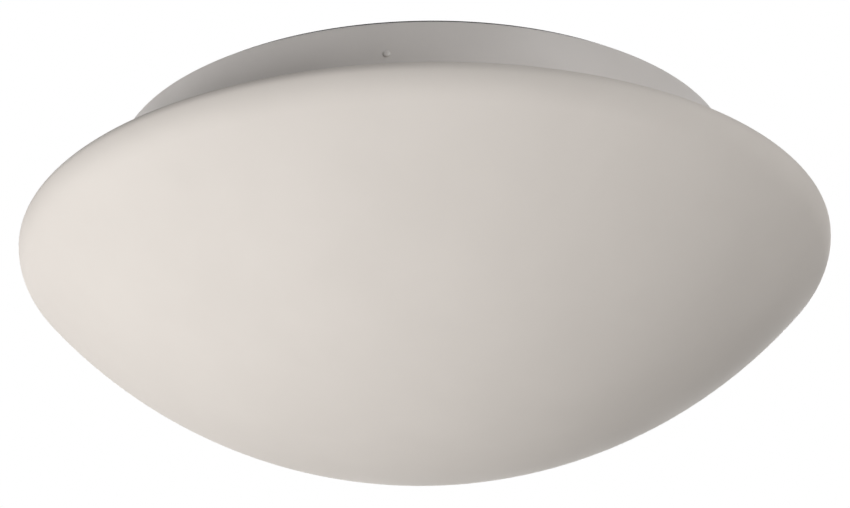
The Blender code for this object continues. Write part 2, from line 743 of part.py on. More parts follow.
def terminal_outline():
    """Outline the terminal block across its poles, ears and towers, downwards from its base."""
    reach = TERMINAL_WIDTH / 2
    tower = TERMINAL_TOWER_RADIUS
    rounding_steps = 4
    outline = [(-reach, 0), (-reach, -TERMINAL_BASE)]
    for y in terminal_pole_ys():
        centre = (y - TERMINAL_Y, -TERMINAL_HEIGHT + tower)
        outline.append((centre[0] - tower, -TERMINAL_BASE))
        outline.extend(arc(centre, tower, 180, 360, rounding_steps))
        outline.append((centre[0] + tower, -TERMINAL_BASE))
    outline.extend([(reach, -TERMINAL_BASE), (reach, 0)])
    return outline


def build_terminal_block(body):
    """Mould the three-pole terminal block and fit its brass barrels, clamping screws and fixing screws."""
    def fill(work):
        half = TERMINAL_LENGTH / 2
        face = work.faces.new([work.verts.new((-half, y, z)) for y, z in terminal_outline()])
        made = bmesh.ops.extrude_face_region(work, geom=[face])
        far = [item for item in made["geom"] if isinstance(item, bmesh.types.BMVert)]
        bmesh.ops.translate(work, verts=far, vec=(TERMINAL_LENGTH, 0, 0))
        bmesh.ops.recalc_face_normals(work, faces=work.faces)

    place = (0, TERMINAL_Y, TERMINAL_TOP_Z)
    block = add_part(
        "terminal_block", mesh_from("terminal_block", fill), "polyamide", place=place, body=body
    )
    along = (0, math.pi / 2, 0)
    start_x = -TERMINAL_LENGTH / 2 - CUT_OVERRUN
    bore_length = TERMINAL_LENGTH + 2 * CUT_OVERRUN
    screw_hole = TERMINAL_SCREW_RADIUS + SEAT_GAP
    barrel_radius = TERMINAL_BORE_RADIUS - SEAT_GAP
    barrel_length = TERMINAL_LENGTH - 2 * TERMINAL_INSERT_INSET
    screw_low = TERMINAL_FACE_Z + TERMINAL_SCREW_RECESS
    screw_high = TERMINAL_BORE_Z - barrel_radius - SEAT_GAP
    barrel = [
        (TERMINAL_BORE_OF_BRASS, barrel_length),
        (barrel_radius, barrel_length),
        (barrel_radius, 0),
        (TERMINAL_BORE_OF_BRASS, 0),
    ]
    for pole, y in enumerate(terminal_pole_ys(), 1):
        cut(
            block, cylinder_mesh("bore", TERMINAL_BORE_RADIUS, bore_length),
            (start_x, y, TERMINAL_BORE_Z), along,
        )
        turned_part(
            f"terminal_barrel_{pole}", barrel, "brass", SMALL_STEPS, closed=True,
            place=(-barrel_length / 2, y, TERMINAL_BORE_Z), turn=along, body=body,
        )
        for end, x in zip("ab", (-TERMINAL_SCREW_SPREAD, TERMINAL_SCREW_SPREAD)):
            depth = TERMINAL_BORE_Z - TERMINAL_FACE_Z + CUT_OVERRUN
            cut(
                block, cylinder_mesh("screw_hole", screw_hole, depth),
                (x, y, TERMINAL_FACE_Z - CUT_OVERRUN),
            )
            screw = cylinder_mesh("clamp_screw", TERMINAL_SCREW_RADIUS, screw_high - screw_low)
            add_part(
                f"terminal_screw_{pole}{end}", screw, "zinc_steel", place=(x, y, screw_low), body=body
            )
    length = TERMINAL_BASE + 2 * SEAT_GAP + PAN_SHEET + SCREW_TAIL
    for number, spot in enumerate(terminal_ear_places(), 1):
        hole = cylinder_mesh(
            "ear_hole", M3_SHANK_RADIUS + SCREW_HOLE_GAP, TERMINAL_BASE + 2 * CUT_OVERRUN
        )
        cut(block, hole, (spot.x, spot.y, TERMINAL_TOP_Z - TERMINAL_BASE - CUT_OVERRUN))
        tail = (spot.x, spot.y, -TROUGH_DEPTH + SCREW_TAIL)
        add_screw(f"terminal_fixing_screw_{number}", tail, length, m4=False, body=body)


def earth_stack():
    """Give the top Z of the ring terminal, the washer and the screw's head at the earth point."""
    ring_top = FLOOR_Z - SEAT_GAP
    washer_top = ring_top - RING_TERMINAL_SHEET - SEAT_GAP
    head_top = washer_top - WASHER_SHEET - SEAT_GAP
    return ring_top, washer_top, head_top


def build_earth_point(body):
    """Screw the earth lead's ring terminal to the pan."""
    ring_top, washer_top, head_top = earth_stack()
    place = around(TROUGH_MID_RADIUS, EARTH_AZIMUTH, 0)
    hole = M4_SHANK_RADIUS + SCREW_HOLE_GAP
    washer_low = washer_top - WASHER_SHEET
    washer = [
        (hole, washer_top), (WASHER_RADIUS, washer_top), (WASHER_RADIUS, washer_low), (hole, washer_low)
    ]
    turned_part(
        "earth_washer", washer, "zinc_steel", SMALL_STEPS, closed=True, place=place, body=body
    )

    half_tail = RING_TERMINAL_TAIL_WIDTH / 2
    start = math.degrees(math.asin(half_tail / RING_TERMINAL_RADIUS))
    outline = arc((0, 0), RING_TERMINAL_RADIUS, start, 360 - start, SMALL_STEPS)
    tail_x = RING_TERMINAL_RADIUS + RING_TERMINAL_TAIL
    outline.extend([(tail_x, -half_tail), (tail_x, half_tail)])

    def fill(work):
        face = work.faces.new([work.verts.new((x, y, 0)) for x, y in outline])
        made = bmesh.ops.extrude_face_region(work, geom=[face])
        far = [item for item in made["geom"] if isinstance(item, bmesh.types.BMVert)]
        bmesh.ops.translate(work, verts=far, vec=(0, 0, -RING_TERMINAL_SHEET))
        bmesh.ops.recalc_face_normals(work, faces=work.faces)

    terminal = add_part(
        "earth_ring_terminal", mesh_from("earth_ring_terminal", fill), "nickel",
        place=(place.x, place.y, ring_top), body=body,
    )
    cut(
        terminal, cylinder_mesh("hole", hole, 2 * CUT_OVERRUN),
        (place.x, place.y, ring_top - CUT_OVERRUN),
    )
    tail_z = -TROUGH_DEPTH + SCREW_TAIL
    add_screw("earth_screw", (place.x, place.y, tail_z), tail_z - head_top, body=body)


def build_leads(body):
    """Run the live and neutral leads to the lampholder's back, and the earth lead to its ring terminal."""
    face_x = -TERMINAL_LENGTH / 2
    bed_z = FLOOR_Z - LEAD_BED - LEAD_RADIUS
    live_y, neutral_y, earth_y = terminal_pole_ys()[::-1]
    outer_x = BRACKET_X - LEAD_BRACKET_CLEARANCE
    holder_end_x = HOLDER_X + HOLDER_ENTRY_DEPTH / 2
    turn = Vector((
        outer_x * LEAD_TURN_X_SHARE, TERMINAL_Y * LEAD_TURN_Y_SHARE, LAMP_Z * LEAD_TURN_Z_SHARE
    ))
    runs = (("lead_live", "lead_brown", live_y, 1), ("lead_neutral", "lead_blue", neutral_y, -1))
    for name, key, y, side in runs:
        spread = side * LEAD_SPREAD_AT_HOLDER
        corners = [
            (face_x + LEAD_REACH_IN, y, TERMINAL_BORE_Z),
            (face_x - LEAD_STRAIGHT, y, TERMINAL_BORE_Z),
            (face_x - 3 * LEAD_STRAIGHT, y - LEAD_STRAIGHT, TERMINAL_BORE_Z + spread),
            (BRACKET_X / 2, TERMINAL_Y * LEAD_MIDDLE_Y_SHARE + 2 * spread, TERMINAL_BORE_Z),
            (turn.x, turn.y + spread, turn.z),
            (outer_x - LEAD_BRACKET_CLEARANCE / 2, LEAD_STRAIGHT + spread, LAMP_Z * LEAD_DROP_Z_SHARE),
            (outer_x, spread, LAMP_Z),
            (BRACKET_X, spread, LAMP_Z),
            (holder_end_x, spread, LAMP_Z),
        ]
        add_lead(name, corners, key, body)

    ring_top = earth_stack()[0]
    ring = around(TROUGH_MID_RADIUS, EARTH_AZIMUTH, 0)
    end_x = ring.x + RING_TERMINAL_RADIUS + RING_TERMINAL_TAIL - LEAD_STRAIGHT / 2
    end_z = min(ring_top - RING_TERMINAL_SHEET - SEAT_GAP - LEAD_RADIUS, bed_z)
    corners = [
        (face_x + LEAD_REACH_IN, earth_y, TERMINAL_BORE_Z),
        (face_x - LEAD_STRAIGHT, earth_y, TERMINAL_BORE_Z),
        (face_x - 3 * LEAD_STRAIGHT, (earth_y * 2 + ring.y) / 3, (TERMINAL_BORE_Z + end_z) / 2),
        (end_x + 2 * LEAD_STRAIGHT, ring.y, end_z),
        (end_x, ring.y, end_z),
    ]
    add_lead("lead_earth", corners, "lead_green", body)


# Shade


def shade_profile():
    """Outline the glass: up the inside from the axis, over the bead, and down the outside to the axis."""
    wall = SHADE_WALL
    seat = (PAN_RADIUS + SHADE_SEAT_REACH, SEAT_Z)
    shoulder = (SHADE_RADIUS - SHADE_SHOULDER_RADIUS, EQUATOR_Z)
    run = shoulder[0] - seat[0]
    fall = seat[1] - shoulder[1]
    reach = math.hypot(run, fall)
    slope = math.degrees(math.atan2(fall, run) - math.asin(SHADE_SHOULDER_RADIUS / reach))
    lean = 90 - slope
    rim = (SHADE_RADIUS - SHADE_RIM_RADIUS, EQUATOR_Z)
    join = math.degrees(math.acos(rim[0] / (SHADE_DOME_RADIUS - SHADE_RIM_RADIUS)))
    dome_rise = (SHADE_DOME_RADIUS - SHADE_RIM_RADIUS) * math.sin(math.radians(join))
    dome = (0, EQUATOR_Z + dome_rise)
    fillet = (NECK_RADIUS + NECK_FILLET, SEAT_Z + NECK_FILLET)
    corner_shift = math.tan(math.radians(slope / 2))

    bead_top = (BEAD_RADIUS - BEAD_ROUNDING, NECK_TOP_Z - BEAD_ROUNDING)
    bead_low = (BEAD_RADIUS - BEAD_ROUNDING, BEAD_UNDERSIDE_Z + BEAD_ROUNDING)
    outside = [
        *arc(bead_top, BEAD_ROUNDING, 90, 0, 2),
        *arc(bead_low, BEAD_ROUNDING, 0, -90, 2),
        (NECK_RADIUS, BEAD_UNDERSIDE_Z),
        *arc(fillet, NECK_FILLET, 180, 270, 2),
        seat,
        *arc(shoulder, SHADE_SHOULDER_RADIUS, lean, 0, 3),
        *arc(rim, SHADE_RIM_RADIUS, 0, -join, 4)[1:],
        *arc(dome, SHADE_DOME_RADIUS, -join, -90, 7)[1:-1],
        (0, dome[1] - SHADE_DOME_RADIUS),
    ]
    inside = [
        (0, dome[1] - SHADE_DOME_RADIUS + wall),
        *arc(dome, SHADE_DOME_RADIUS - wall, -90, -join, 6)[1:-1],
        *arc(rim, SHADE_RIM_RADIUS - wall, -join, 0, 4)[:-1],
        *arc(shoulder, SHADE_SHOULDER_RADIUS - wall, 0, lean, 2),
        (seat[0] - wall * corner_shift, SEAT_Z - wall),
        *arc(fillet, NECK_FILLET + wall, 270, 180, 2),
        (NECK_RADIUS - wall, NECK_TOP_Z),
    ]
    return inside + outside


def build_shade(body):
    """Turn the opal glass shade and lay its silicone seal on the seat round the neck."""
    turned_part("glass_shade", shade_profile(), "opal_glass", WIDE_STEPS, body=body)
    outer = PAN_RADIUS - SHADE_SEAL_INSET
    inner = NECK_RADIUS + NECK_FILLET + SEAT_GAP
    top = PAN_RIM_Z - SEAT_GAP
    low = top - SHADE_SEAL_HEIGHT
    seal = [(outer, top), (outer, low), (inner, low), (inner, top)]
    turned_part("shade_seal", seal, "silicone", WIDE_STEPS, closed=True, body=body)


# Lamp


def build_lamp(tip_body, lamp_body):
    """Build the screw-in lamp along X from its tip: contact, insulator, cap, housing and globe."""
    along = (0, math.pi / 2, 0)
    place = (LAMP_TIP_X, 0, LAMP_Z)
    insulator_low = TIP_HEIGHT + SEAT_GAP
    insulator_high = insulator_low + INSULATOR_HEIGHT
    cap_low = insulator_high + SEAT_GAP
    cap_high = cap_low + CAP_LENGTH
    housing_low = cap_high + SEAT_GAP
    housing_high = housing_low + HOUSING_LENGTH
    globe_low = housing_high + SEAT_GAP
    globe_equator = globe_low + GLOBE_SKIRT

    tip = [
        (0, TIP_HEIGHT),
        (TIP_RADIUS, TIP_HEIGHT),
        (TIP_RADIUS, TIP_HEIGHT / 2),
        (TIP_RADIUS / 2, 0),
        (0, 0),
    ]
    turned_part("lamp_contact", tip, "nickel", SMALL_STEPS, place=place, turn=along, body=tip_body)

    insulator = [
        (0, insulator_high),
        (CAP_BACK_RADIUS, insulator_high),
        (INSULATOR_TIP_RADIUS, insulator_low),
        (0, insulator_low),
    ]
    turned_part(
        "lamp_insulator", insulator, "black_glass", ROUND_STEPS, place=place, turn=along, body=tip_body
    )

    cap = [
        (0, cap_high),
        (CAP_RADIUS, cap_high),
        (CAP_RADIUS, cap_low + CAP_CHAMFER),
        (CAP_BACK_RADIUS, cap_low),
        (0, cap_low),
    ]
    turned_part("lamp_cap", cap, "nickel", ROUND_STEPS, place=place, turn=along, body=lamp_body)

    housing_top = GLOBE_RADIUS - HOUSING_TOP_INSET
    flare = housing_high - housing_low - HOUSING_COLLAR
    spread = housing_top - HOUSING_NECK_RADIUS
    flare_steps = 6
    side = []
    for step in range(flare_steps + 1):
        share = 1 - step / flare_steps
        radius = HOUSING_NECK_RADIUS + spread * math.sin(share * math.pi / 2)
        side.append((radius, housing_low + HOUSING_COLLAR + flare * share))
    housing = [(0, housing_high), *side, (HOUSING_NECK_RADIUS, housing_low), (0, housing_low)]
    turned_part(
        "lamp_housing", housing, "lamp_white", ROUND_STEPS, place=place, turn=along, body=lamp_body
    )

    globe = [
        *arc((0, globe_equator), GLOBE_RADIUS, 90, 0, 7),
        (housing_top, globe_low),
        (0, globe_low),
    ]
    turned_part("lamp_globe", globe, "lamp_globe", ROUND_STEPS, place=place, turn=along, body=lamp_body)


def main():
    """Build every piece on the empty of the body that carries it."""
    base = add_empty("base_body", (0, 0, 0))
    shade_slide = add_empty("shade_slide_axis", (0, 0, PAN_RIM_Z), base)
    lamp_slide = add_empty("lamp_slide_axis", (LAMP_TIP_X, 0, LAMP_Z), base)
    lamp_turn = add_empty("lamp_turn_axis", (LAMP_TIP_X, 0, LAMP_Z), lamp_slide)
    build_pan(base)
    build_ceiling_gasket(base)
    build_grommet(base)
    build_clips(base)
    build_bracket(base)
    build_lampholder(base)
    build_terminal_block(base)
    build_earth_point(base)
    build_leads(base)
    build_shade(shade_slide)
    build_lamp(lamp_slide, lamp_turn)


main()
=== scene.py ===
"""Looks of a round bathroom ceiling light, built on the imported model's frame.

An opal glass shade hangs on three spring clips under a white steel pan. Inside are a porcelain
lampholder on its bracket, a screw-in lamp, a terminal block, an earth point and the leads between them.
Every piece is in metres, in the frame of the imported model: +Z is up and the ceiling is at z 0.
"""

import logging
import math
from collections.abc import Callable, Sequence
from dataclasses import dataclass
from enum import Enum

import bpy
from mathutils import Matrix, Vector

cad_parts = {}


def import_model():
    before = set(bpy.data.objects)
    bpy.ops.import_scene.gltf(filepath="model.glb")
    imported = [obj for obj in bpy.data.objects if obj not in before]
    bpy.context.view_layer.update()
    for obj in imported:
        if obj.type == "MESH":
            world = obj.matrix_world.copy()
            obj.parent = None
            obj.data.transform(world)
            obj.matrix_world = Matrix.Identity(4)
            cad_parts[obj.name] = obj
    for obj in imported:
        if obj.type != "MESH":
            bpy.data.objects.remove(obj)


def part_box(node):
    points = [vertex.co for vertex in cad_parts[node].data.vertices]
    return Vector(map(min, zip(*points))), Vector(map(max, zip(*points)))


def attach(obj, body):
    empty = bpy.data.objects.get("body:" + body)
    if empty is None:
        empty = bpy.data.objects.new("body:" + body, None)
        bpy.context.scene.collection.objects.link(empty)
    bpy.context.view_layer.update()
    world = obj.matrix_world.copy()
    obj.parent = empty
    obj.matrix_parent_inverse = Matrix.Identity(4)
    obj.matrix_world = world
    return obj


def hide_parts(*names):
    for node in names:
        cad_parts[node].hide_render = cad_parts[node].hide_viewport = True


Point = tuple[float, float]
Corner = tuple[float, float, float]
Sockets = dict[str | int, object]

MILLIMETRE = 0.001
QUARTER_TURN = math.pi / 2
FULL_TURN = 2 * math.pi

# The sRGB curve: its straight foot up to the knee, and the power curve above it.
SRGB_KNEE = 0.04045
SRGB_FOOT_SLOPE = 12.92
SRGB_OFFSET = 0.055
SRGB_POWER = 2.4

# A noise gathers round 0.5, so the tones and the polish run between two values on each side of that.
NOISE_DETAIL = 3.0
TONE_RANGE = (0.35, 0.65)
POLISH_RANGE = (0.3, 0.7)

# The plane that a drawn line starts from, the distance at which two points count as one, how near to a
# cut a point counts as on it, how far a tool stands out of what it cuts, and the angle of a sharp edge.
SEED_SIZE = 0.001
JOIN_DISTANCE = 0.000002
CUT_TOLERANCE = 0.0000001
OVERRUN = 0.002
SMOOTH_ANGLE = math.radians(32)

# How many faces go round a piece, from the glass down to a pierced hole.
WIDE_STEPS = 192
ROUND_STEPS = 96
SMALL_STEPS = 48
FINE_STEPS = 24
HOLE_STEPS = 16

# How many faces cross a bend, a screw head's crown, a soft edge, a fine edge and a thread from root to
# root, and how finely a lead's section is divided.
BEND_STEPS = 6
CROWN_STEPS = 4
SOFT_EDGE_STEPS = 3
EDGE_STEPS = 2
THREAD_STEPS = 10
TUBE_BEVELS = 4

# Sizes that two assemblies share.
NECK_RADIUS = 0.102
BEAD_STAND = 0.003
BEAD_HEIGHT = 0.004
OUTER_LAND_DROP = 0.0018
CAP_THREAD_PITCH = 0.003629
CABLE_ENTRY_DEPTH = 0.0065
LEAD_RADIUS = 0.0010

log = logging.getLogger("ceiling_light")


class Body(Enum):
    """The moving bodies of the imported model."""

    BASE = "base"
    SHADE = "shade"
    LAMP_TIP = "lamp_tip"
    LAMP = "lamp"


class Slot(Enum):
    """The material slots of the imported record."""

    POWDER_COAT = "powder_coat"
    OPAL_GLASS = "opal_glass"
    FOAM = "foam"
    SILICONE = "silicone"
    RUBBER = "rubber"
    SPRING_STEEL = "spring_steel"
    ZINC_STEEL = "zinc_steel"
    PORCELAIN = "porcelain"
    BRASS = "brass"
    NICKEL = "nickel"
    POLYAMIDE = "polyamide"
    LAMP_WHITE = "lamp_white"
    LAMP_GLOBE = "lamp_globe"
    BLACK_GLASS = "black_glass"
    LEAD_BROWN = "lead_brown"
    LEAD_BLUE = "lead_blue"
    LEAD_GREEN = "lead_green"


class Change(Enum):
    """What a tool does to the piece that it is combined with."""

    CUT = "DIFFERENCE"
    JOIN = "UNION"


# Materials


def linear(code: str) -> tuple[float, float, float, float]:
    """Turn an sRGB hex colour into a linear colour.

    Args:
        code: six hex digits, red first.

    Returns:
        Linear red, green and blue, with an alpha of 1.
    """
    shares = [int(code[start:start + 2], 16) / 255 for start in (0, 2, 4)]
    red, green, blue = (
        share / SRGB_FOOT_SLOPE if share <= SRGB_KNEE
        else ((share + SRGB_OFFSET) / (1 + SRGB_OFFSET)) ** SRGB_POWER
        for share in shares
    )
    return red, green, blue, 1.0


def add_node(
    tree: bpy.types.NodeTree, kind: str, sockets: Sockets | None = None, **settings: object
) -> bpy.types.Node:
    """Add a node with its settings, and set or link its inputs.

    Args:
        tree: the node tree that gets the node.
        kind: the node's type.
        sockets: for each input, a value or the output that it is linked from.
        **settings: the node's own properties.

    Returns:
        The new node.
    """
    node = tree.nodes.new(kind)
    for name, value in settings.items():
        setattr(node, name, value)
    for key, value in (sockets or {}).items():
        if isinstance(value, bpy.types.NodeSocket):
            tree.links.new(value, node.inputs[key])
        else:
            node.inputs[key].default_value = value
    return node


@dataclass(frozen=True)
class Finish:
    """A surface that clouds between two colours and carries a fine grain.

    Its patterns have real sizes in millimetres: cloud is the width of the soft patches of colour, grain
    the width of the texture, and relief its depth.
    """

    name: str
    slot: Slot
    colour: str
    second_colour: str
    roughness: float
    roughness_swing: float
    cloud: float
    grain: float
    relief: float
    ior: float = 1.5
    metallic: float = 0.0
    coat: float = 0.0
    coat_roughness: float = 0.1
    subsurface: float = 0.0
    subsurface_depth: float = 1.0
    stretch: tuple[float, float, float] = (1.0, 1.0, 1.0)

    def material(self) -> bpy.types.Material:
        """Mix the finish's material the first time that it is asked for.

        Returns:
            The material.
        """
        found = bpy.data.materials.get(self.name)
        if found:
            return found
        material = bpy.data.materials.new(self.name)
        material.use_nodes = True
        tree = material.node_tree
        shader = tree.nodes["Principled BSDF"]
        shader.inputs["IOR"].default_value = self.ior
        shader.inputs["Metallic"].default_value = self.metallic
        shader.inputs["Coat Weight"].default_value = self.coat
        shader.inputs["Coat Roughness"].default_value = self.coat_roughness
        shader.inputs["Subsurface Weight"].default_value = self.subsurface
        shader.inputs["Subsurface Scale"].default_value = self.subsurface_depth * MILLIMETRE
        self.paint(tree, shader)
        self.emboss(tree, shader)
        return material

    def pattern(self, tree: bpy.types.NodeTree, width: float) -> bpy.types.NodeSocket:
        """Lay a noise of one width over the piece, stretched as the surface was worked.

        Args:
            tree: the material's node tree.
            width: the width of the noise's features in millimetres.

        Returns:
            The noise's value, from 0 to 1.
        """
        place = add_node(tree, "ShaderNodeTexCoord")
        stretched = add_node(
            tree, "ShaderNodeMapping", {"Vector": place.outputs["Object"], "Scale": self.stretch}
        )
        noise = add_node(
            tree, "ShaderNodeTexNoise",
            {"Vector": stretched.outputs[0], "Scale": 1 / (width * MILLIMETRE), "Detail": NOISE_DETAIL},
        )
        return noise.outputs[0]

    def paint(self, tree: bpy.types.NodeTree, shader: bpy.types.Node) -> None:
        """Cloud the colour and the roughness.

        Args:
            tree: the material's node tree.
            shader: its Principled shader.
        """
        tones = add_node(tree, "ShaderNodeValToRGB", {"Fac": self.pattern(tree, self.cloud)})
        low, high = tones.color_ramp.elements
        low.position, high.position = TONE_RANGE
        low.color = linear(self.colour)
        high.color = linear(self.second_colour)
        tree.links.new(tones.outputs["Color"], shader.inputs["Base Color"])
        polish = add_node(
            tree, "ShaderNodeMapRange",
            {
                "Value": self.pattern(tree, self.cloud),
                "From Min": POLISH_RANGE[0],
                "From Max": POLISH_RANGE[1],
                "To Min": self.roughness - self.roughness_swing,
                "To Max": self.roughness + self.roughness_swing,
            },
        )
        tree.links.new(polish.outputs[0], shader.inputs["Roughness"])

    def emboss(self, tree: bpy.types.NodeTree, shader: bpy.types.Node) -> None:
        """Raise the grain a little out of the surface.

        Args:
            tree: the material's node tree.
            shader: its Principled shader.
        """
        bump = add_node(
            tree, "ShaderNodeBump",
            {"Height": self.pattern(tree, self.grain), "Distance": self.relief * MILLIMETRE},
        )
        tree.links.new(bump.outputs[0], shader.inputs["Normal"])


@dataclass(frozen=True)
class CellFoam(Finish):
    """A foam whose cut cells show as small round pits."""

    def emboss(self, tree: bpy.types.NodeTree, shader: bpy.types.Node) -> None:
        """Sink the cells into the surface.

        Args:
            tree: the material's node tree.
            shader: its Principled shader.
        """
        place = add_node(tree, "ShaderNodeTexCoord")
        cells = add_node(
            tree, "ShaderNodeTexVoronoi",
            {"Vector": place.outputs["Object"], "Scale": 1 / (self.grain * MILLIMETRE)},
        )
        bump = add_node(
            tree, "ShaderNodeBump",
            {"Height": cells.outputs["Distance"], "Distance": self.relief * MILLIMETRE},
        )
        tree.links.new(bump.outputs[0], shader.inputs["Normal"])


# Polyester powder coat on pressed steel: satin white, with the faint orange peel that powder leaves.
POWDER_COAT = Finish(
    name="powder coated steel", slot=Slot.POWDER_COAT, colour="DFDAD6", second_colour="DCD7D3",
    roughness=0.48, roughness_swing=0.04, cloud=26.0, grain=1.1, relief=0.012,
)
# Opal glass, blown and then etched outside: dead matt, very faintly clouded where the glass is thicker.
OPAL_GLASS = Finish(
    name="etched opal glass", slot=Slot.OPAL_GLASS, colour="EBE4DD", second_colour="E9E2DB",
    roughness=0.75, roughness_swing=0.04, cloud=34.0, grain=0.9, relief=0.004, ior=1.5,
)
# Closed-cell polyethylene foam: black, with cut cells that catch the light.
FOAM = CellFoam(
    name="closed-cell foam", slot=Slot.FOAM, colour="2B2B2C", second_colour="353535",
    roughness=0.9, roughness_swing=0.05, cloud=6.0, grain=0.8, relief=0.15,
)
# Moulded silicone: translucent white with a dull skin.
SILICONE = Finish(
    name="moulded silicone", slot=Slot.SILICONE, colour="E6E6E2", second_colour="DEDEDA",
    roughness=0.5, roughness_swing=0.05, cloud=9.0, grain=0.7, relief=0.01, ior=1.41,
    subsurface=0.2, subsurface_depth=1.5,
)
# Vulcanised rubber: black with a grey bloom.
RUBBER = Finish(
    name="vulcanised rubber", slot=Slot.RUBBER, colour="1E1E1E", second_colour="292928",
    roughness=0.7, roughness_swing=0.08, cloud=5.0, grain=0.5, relief=0.02, ior=1.52,
)
# Hardened spring strip: grey-brown from tempering, with rolling lines along the strip.
SPRING_STEEL = Finish(
    name="tempered spring steel", slot=Slot.SPRING_STEEL, colour="8E8B86", second_colour="A3A09A",
    roughness=0.34, roughness_swing=0.08, cloud=3.0, grain=0.35, relief=0.006, metallic=1.0,
    stretch=(1.0, 1.0, 0.06),
)
# Bright zinc plate: pale grey with a bluish passivation that varies in patches.
ZINC_STEEL = Finish(
    name="zinc plated steel", slot=Slot.ZINC_STEEL, colour="BDBFC2", second_colour="CBCBC6",
    roughness=0.33, roughness_swing=0.09, cloud=7.0, grain=0.5, relief=0.004, metallic=1.0,
)
# Glazed electrical porcelain: ivory under a clear glaze that lies in slow waves.
PORCELAIN = Finish(
    name="glazed porcelain", slot=Slot.PORCELAIN, colour="EEEBE1", second_colour="E9E5D9",
    roughness=0.3, roughness_swing=0.06, cloud=12.0, grain=5.0, relief=0.03, ior=1.54,
    coat=0.8, coat_roughness=0.06,
)
# Rolled brass: warm yellow, dulled brown in patches.
BRASS = Finish(
    name="rolled brass", slot=Slot.BRASS, colour="C9A45C", second_colour="B58F4A",
    roughness=0.3, roughness_swing=0.1, cloud=5.0, grain=0.4, relief=0.004, metallic=1.0,
)
# Nickel plate on brass: warm grey and fairly bright.
NICKEL = Finish(
    name="nickel plate", slot=Slot.NICKEL, colour="B9B4A9", second_colour="C6C2B8",
    roughness=0.24, roughness_swing=0.06, cloud=6.0, grain=0.4, relief=0.003, metallic=1.0,
)
# Moulded polyamide: natural milky white, with the fine matt of a sparked mould.
POLYAMIDE = Finish(
    name="moulded polyamide", slot=Slot.POLYAMIDE, colour="E2DFD2", second_colour="DCD8C9",
    roughness=0.45, roughness_swing=0.05, cloud=6.0, grain=0.35, relief=0.008, ior=1.53,
    subsurface=0.15, subsurface_depth=1.0,
)
# Moulded polycarbonate housing: glossy cold white.
LAMP_WHITE = Finish(
    name="moulded polycarbonate", slot=Slot.LAMP_WHITE, colour="EBEBEA", second_colour="E7E7E6",
    roughness=0.3, roughness_swing=0.04, cloud=18.0, grain=0.8, relief=0.003, ior=1.58,
)
# Light-diffusing polycarbonate: milky and satin.
LAMP_GLOBE = Finish(
    name="diffusing polycarbonate", slot=Slot.LAMP_GLOBE, colour="F0F0ED", second_colour="EBEBE8",
    roughness=0.42, roughness_swing=0.03, cloud=20.0, grain=0.9, relief=0.003, ior=1.58,
    subsurface=0.2, subsurface_depth=3.0,
)
# Cast black glass round the lamp's centre contact: glossy, with flow waves.
BLACK_GLASS = Finish(
    name="black cast glass", slot=Slot.BLACK_GLASS, colour="121216", second_colour="1B1B20",
    roughness=0.16, roughness_swing=0.06, cloud=4.0, grain=2.0, relief=0.03, ior=1.6,
)
# Extruded PVC insulation: soft gloss with faint waves from the die.
LEAD_BROWN = Finish(
    name="brown extruded insulation", slot=Slot.LEAD_BROWN, colour="6B4226", second_colour="744A2D",
    roughness=0.36, roughness_swing=0.05, cloud=8.0, grain=1.2, relief=0.006, ior=1.53,
)
LEAD_BLUE = Finish(
    name="blue extruded insulation", slot=Slot.LEAD_BLUE, colour="2B62B4", second_colour="3269BA",
    roughness=0.36, roughness_swing=0.05, cloud=8.0, grain=1.2, relief=0.006, ior=1.53,
)
LEAD_GREEN = Finish(
    name="green extruded insulation", slot=Slot.LEAD_GREEN, colour="4F9A2C", second_colour="57A132",
    roughness=0.36, roughness_swing=0.05, cloud=8.0, grain=1.2, relief=0.006, ior=1.53,
)
LEAD_YELLOW = Finish(
    name="yellow extruded stripe", slot=Slot.LEAD_GREEN, colour="E6CF2E", second_colour="E0C828",
    roughness=0.36, roughness_swing=0.05, cloud=8.0, grain=1.2, relief=0.006, ior=1.53,
)


# Outlines


def arc(centre: Point, radius: float, start: float, end: float, steps: int) -> list[Point]:
    """List the points of an arc, both ends included.

    Args:
        centre: the arc's centre.
        radius: its radius.
        start: its first angle in degrees.
        end: its last angle in degrees.
        steps: how many straight pieces it has.

    Returns:
        The points in order.
    """
    points = []
    for step in range(steps + 1):
        angle = math.radians(start + (end - start) * step / steps)
        points.append((centre[0] + radius * math.cos(angle), centre[1] + radius * math.sin(angle)))
    return points


def rounded(corners: Sequence[Corner], closed: bool = False, steps: int = BEND_STEPS) -> list[Point]:
    """Round the corners of an outline.

    Args:
        corners: across, along and rounding radius of each corner, zero for a sharp one.
        closed: whether the last corner runs on to the first.
        steps: how many straight pieces each rounding has.

    Returns:
        The outline's points in order.
    """
    points: list[Point] = []
    last = len(corners) - 1
    for index, (across, along, radius) in enumerate(corners):
        if not radius or (not closed and index in (0, last)):
            points.append((across, along))
            continue
        here = Vector((across, along))
        back = (Vector(corners[index - 1][:2]) - here).normalized()
        ahead = (Vector(corners[(index + 1) % len(corners)][:2]) - here).normalized()
        half = back.angle(ahead) / 2
        centre = here + (back + ahead).normalized() * (radius / math.sin(half))
        first = here + back * (radius / math.tan(half)) - centre
        final = here + ahead * (radius / math.tan(half)) - centre
        start = math.atan2(first.y, first.x)
        sweep = (math.atan2(final.y, final.x) - start + math.pi) % FULL_TURN - math.pi
        for step in range(steps + 1):
            angle = start + sweep * step / steps
            points.append((centre.x + radius * math.cos(angle), centre.y + radius * math.sin(angle)))
    return points


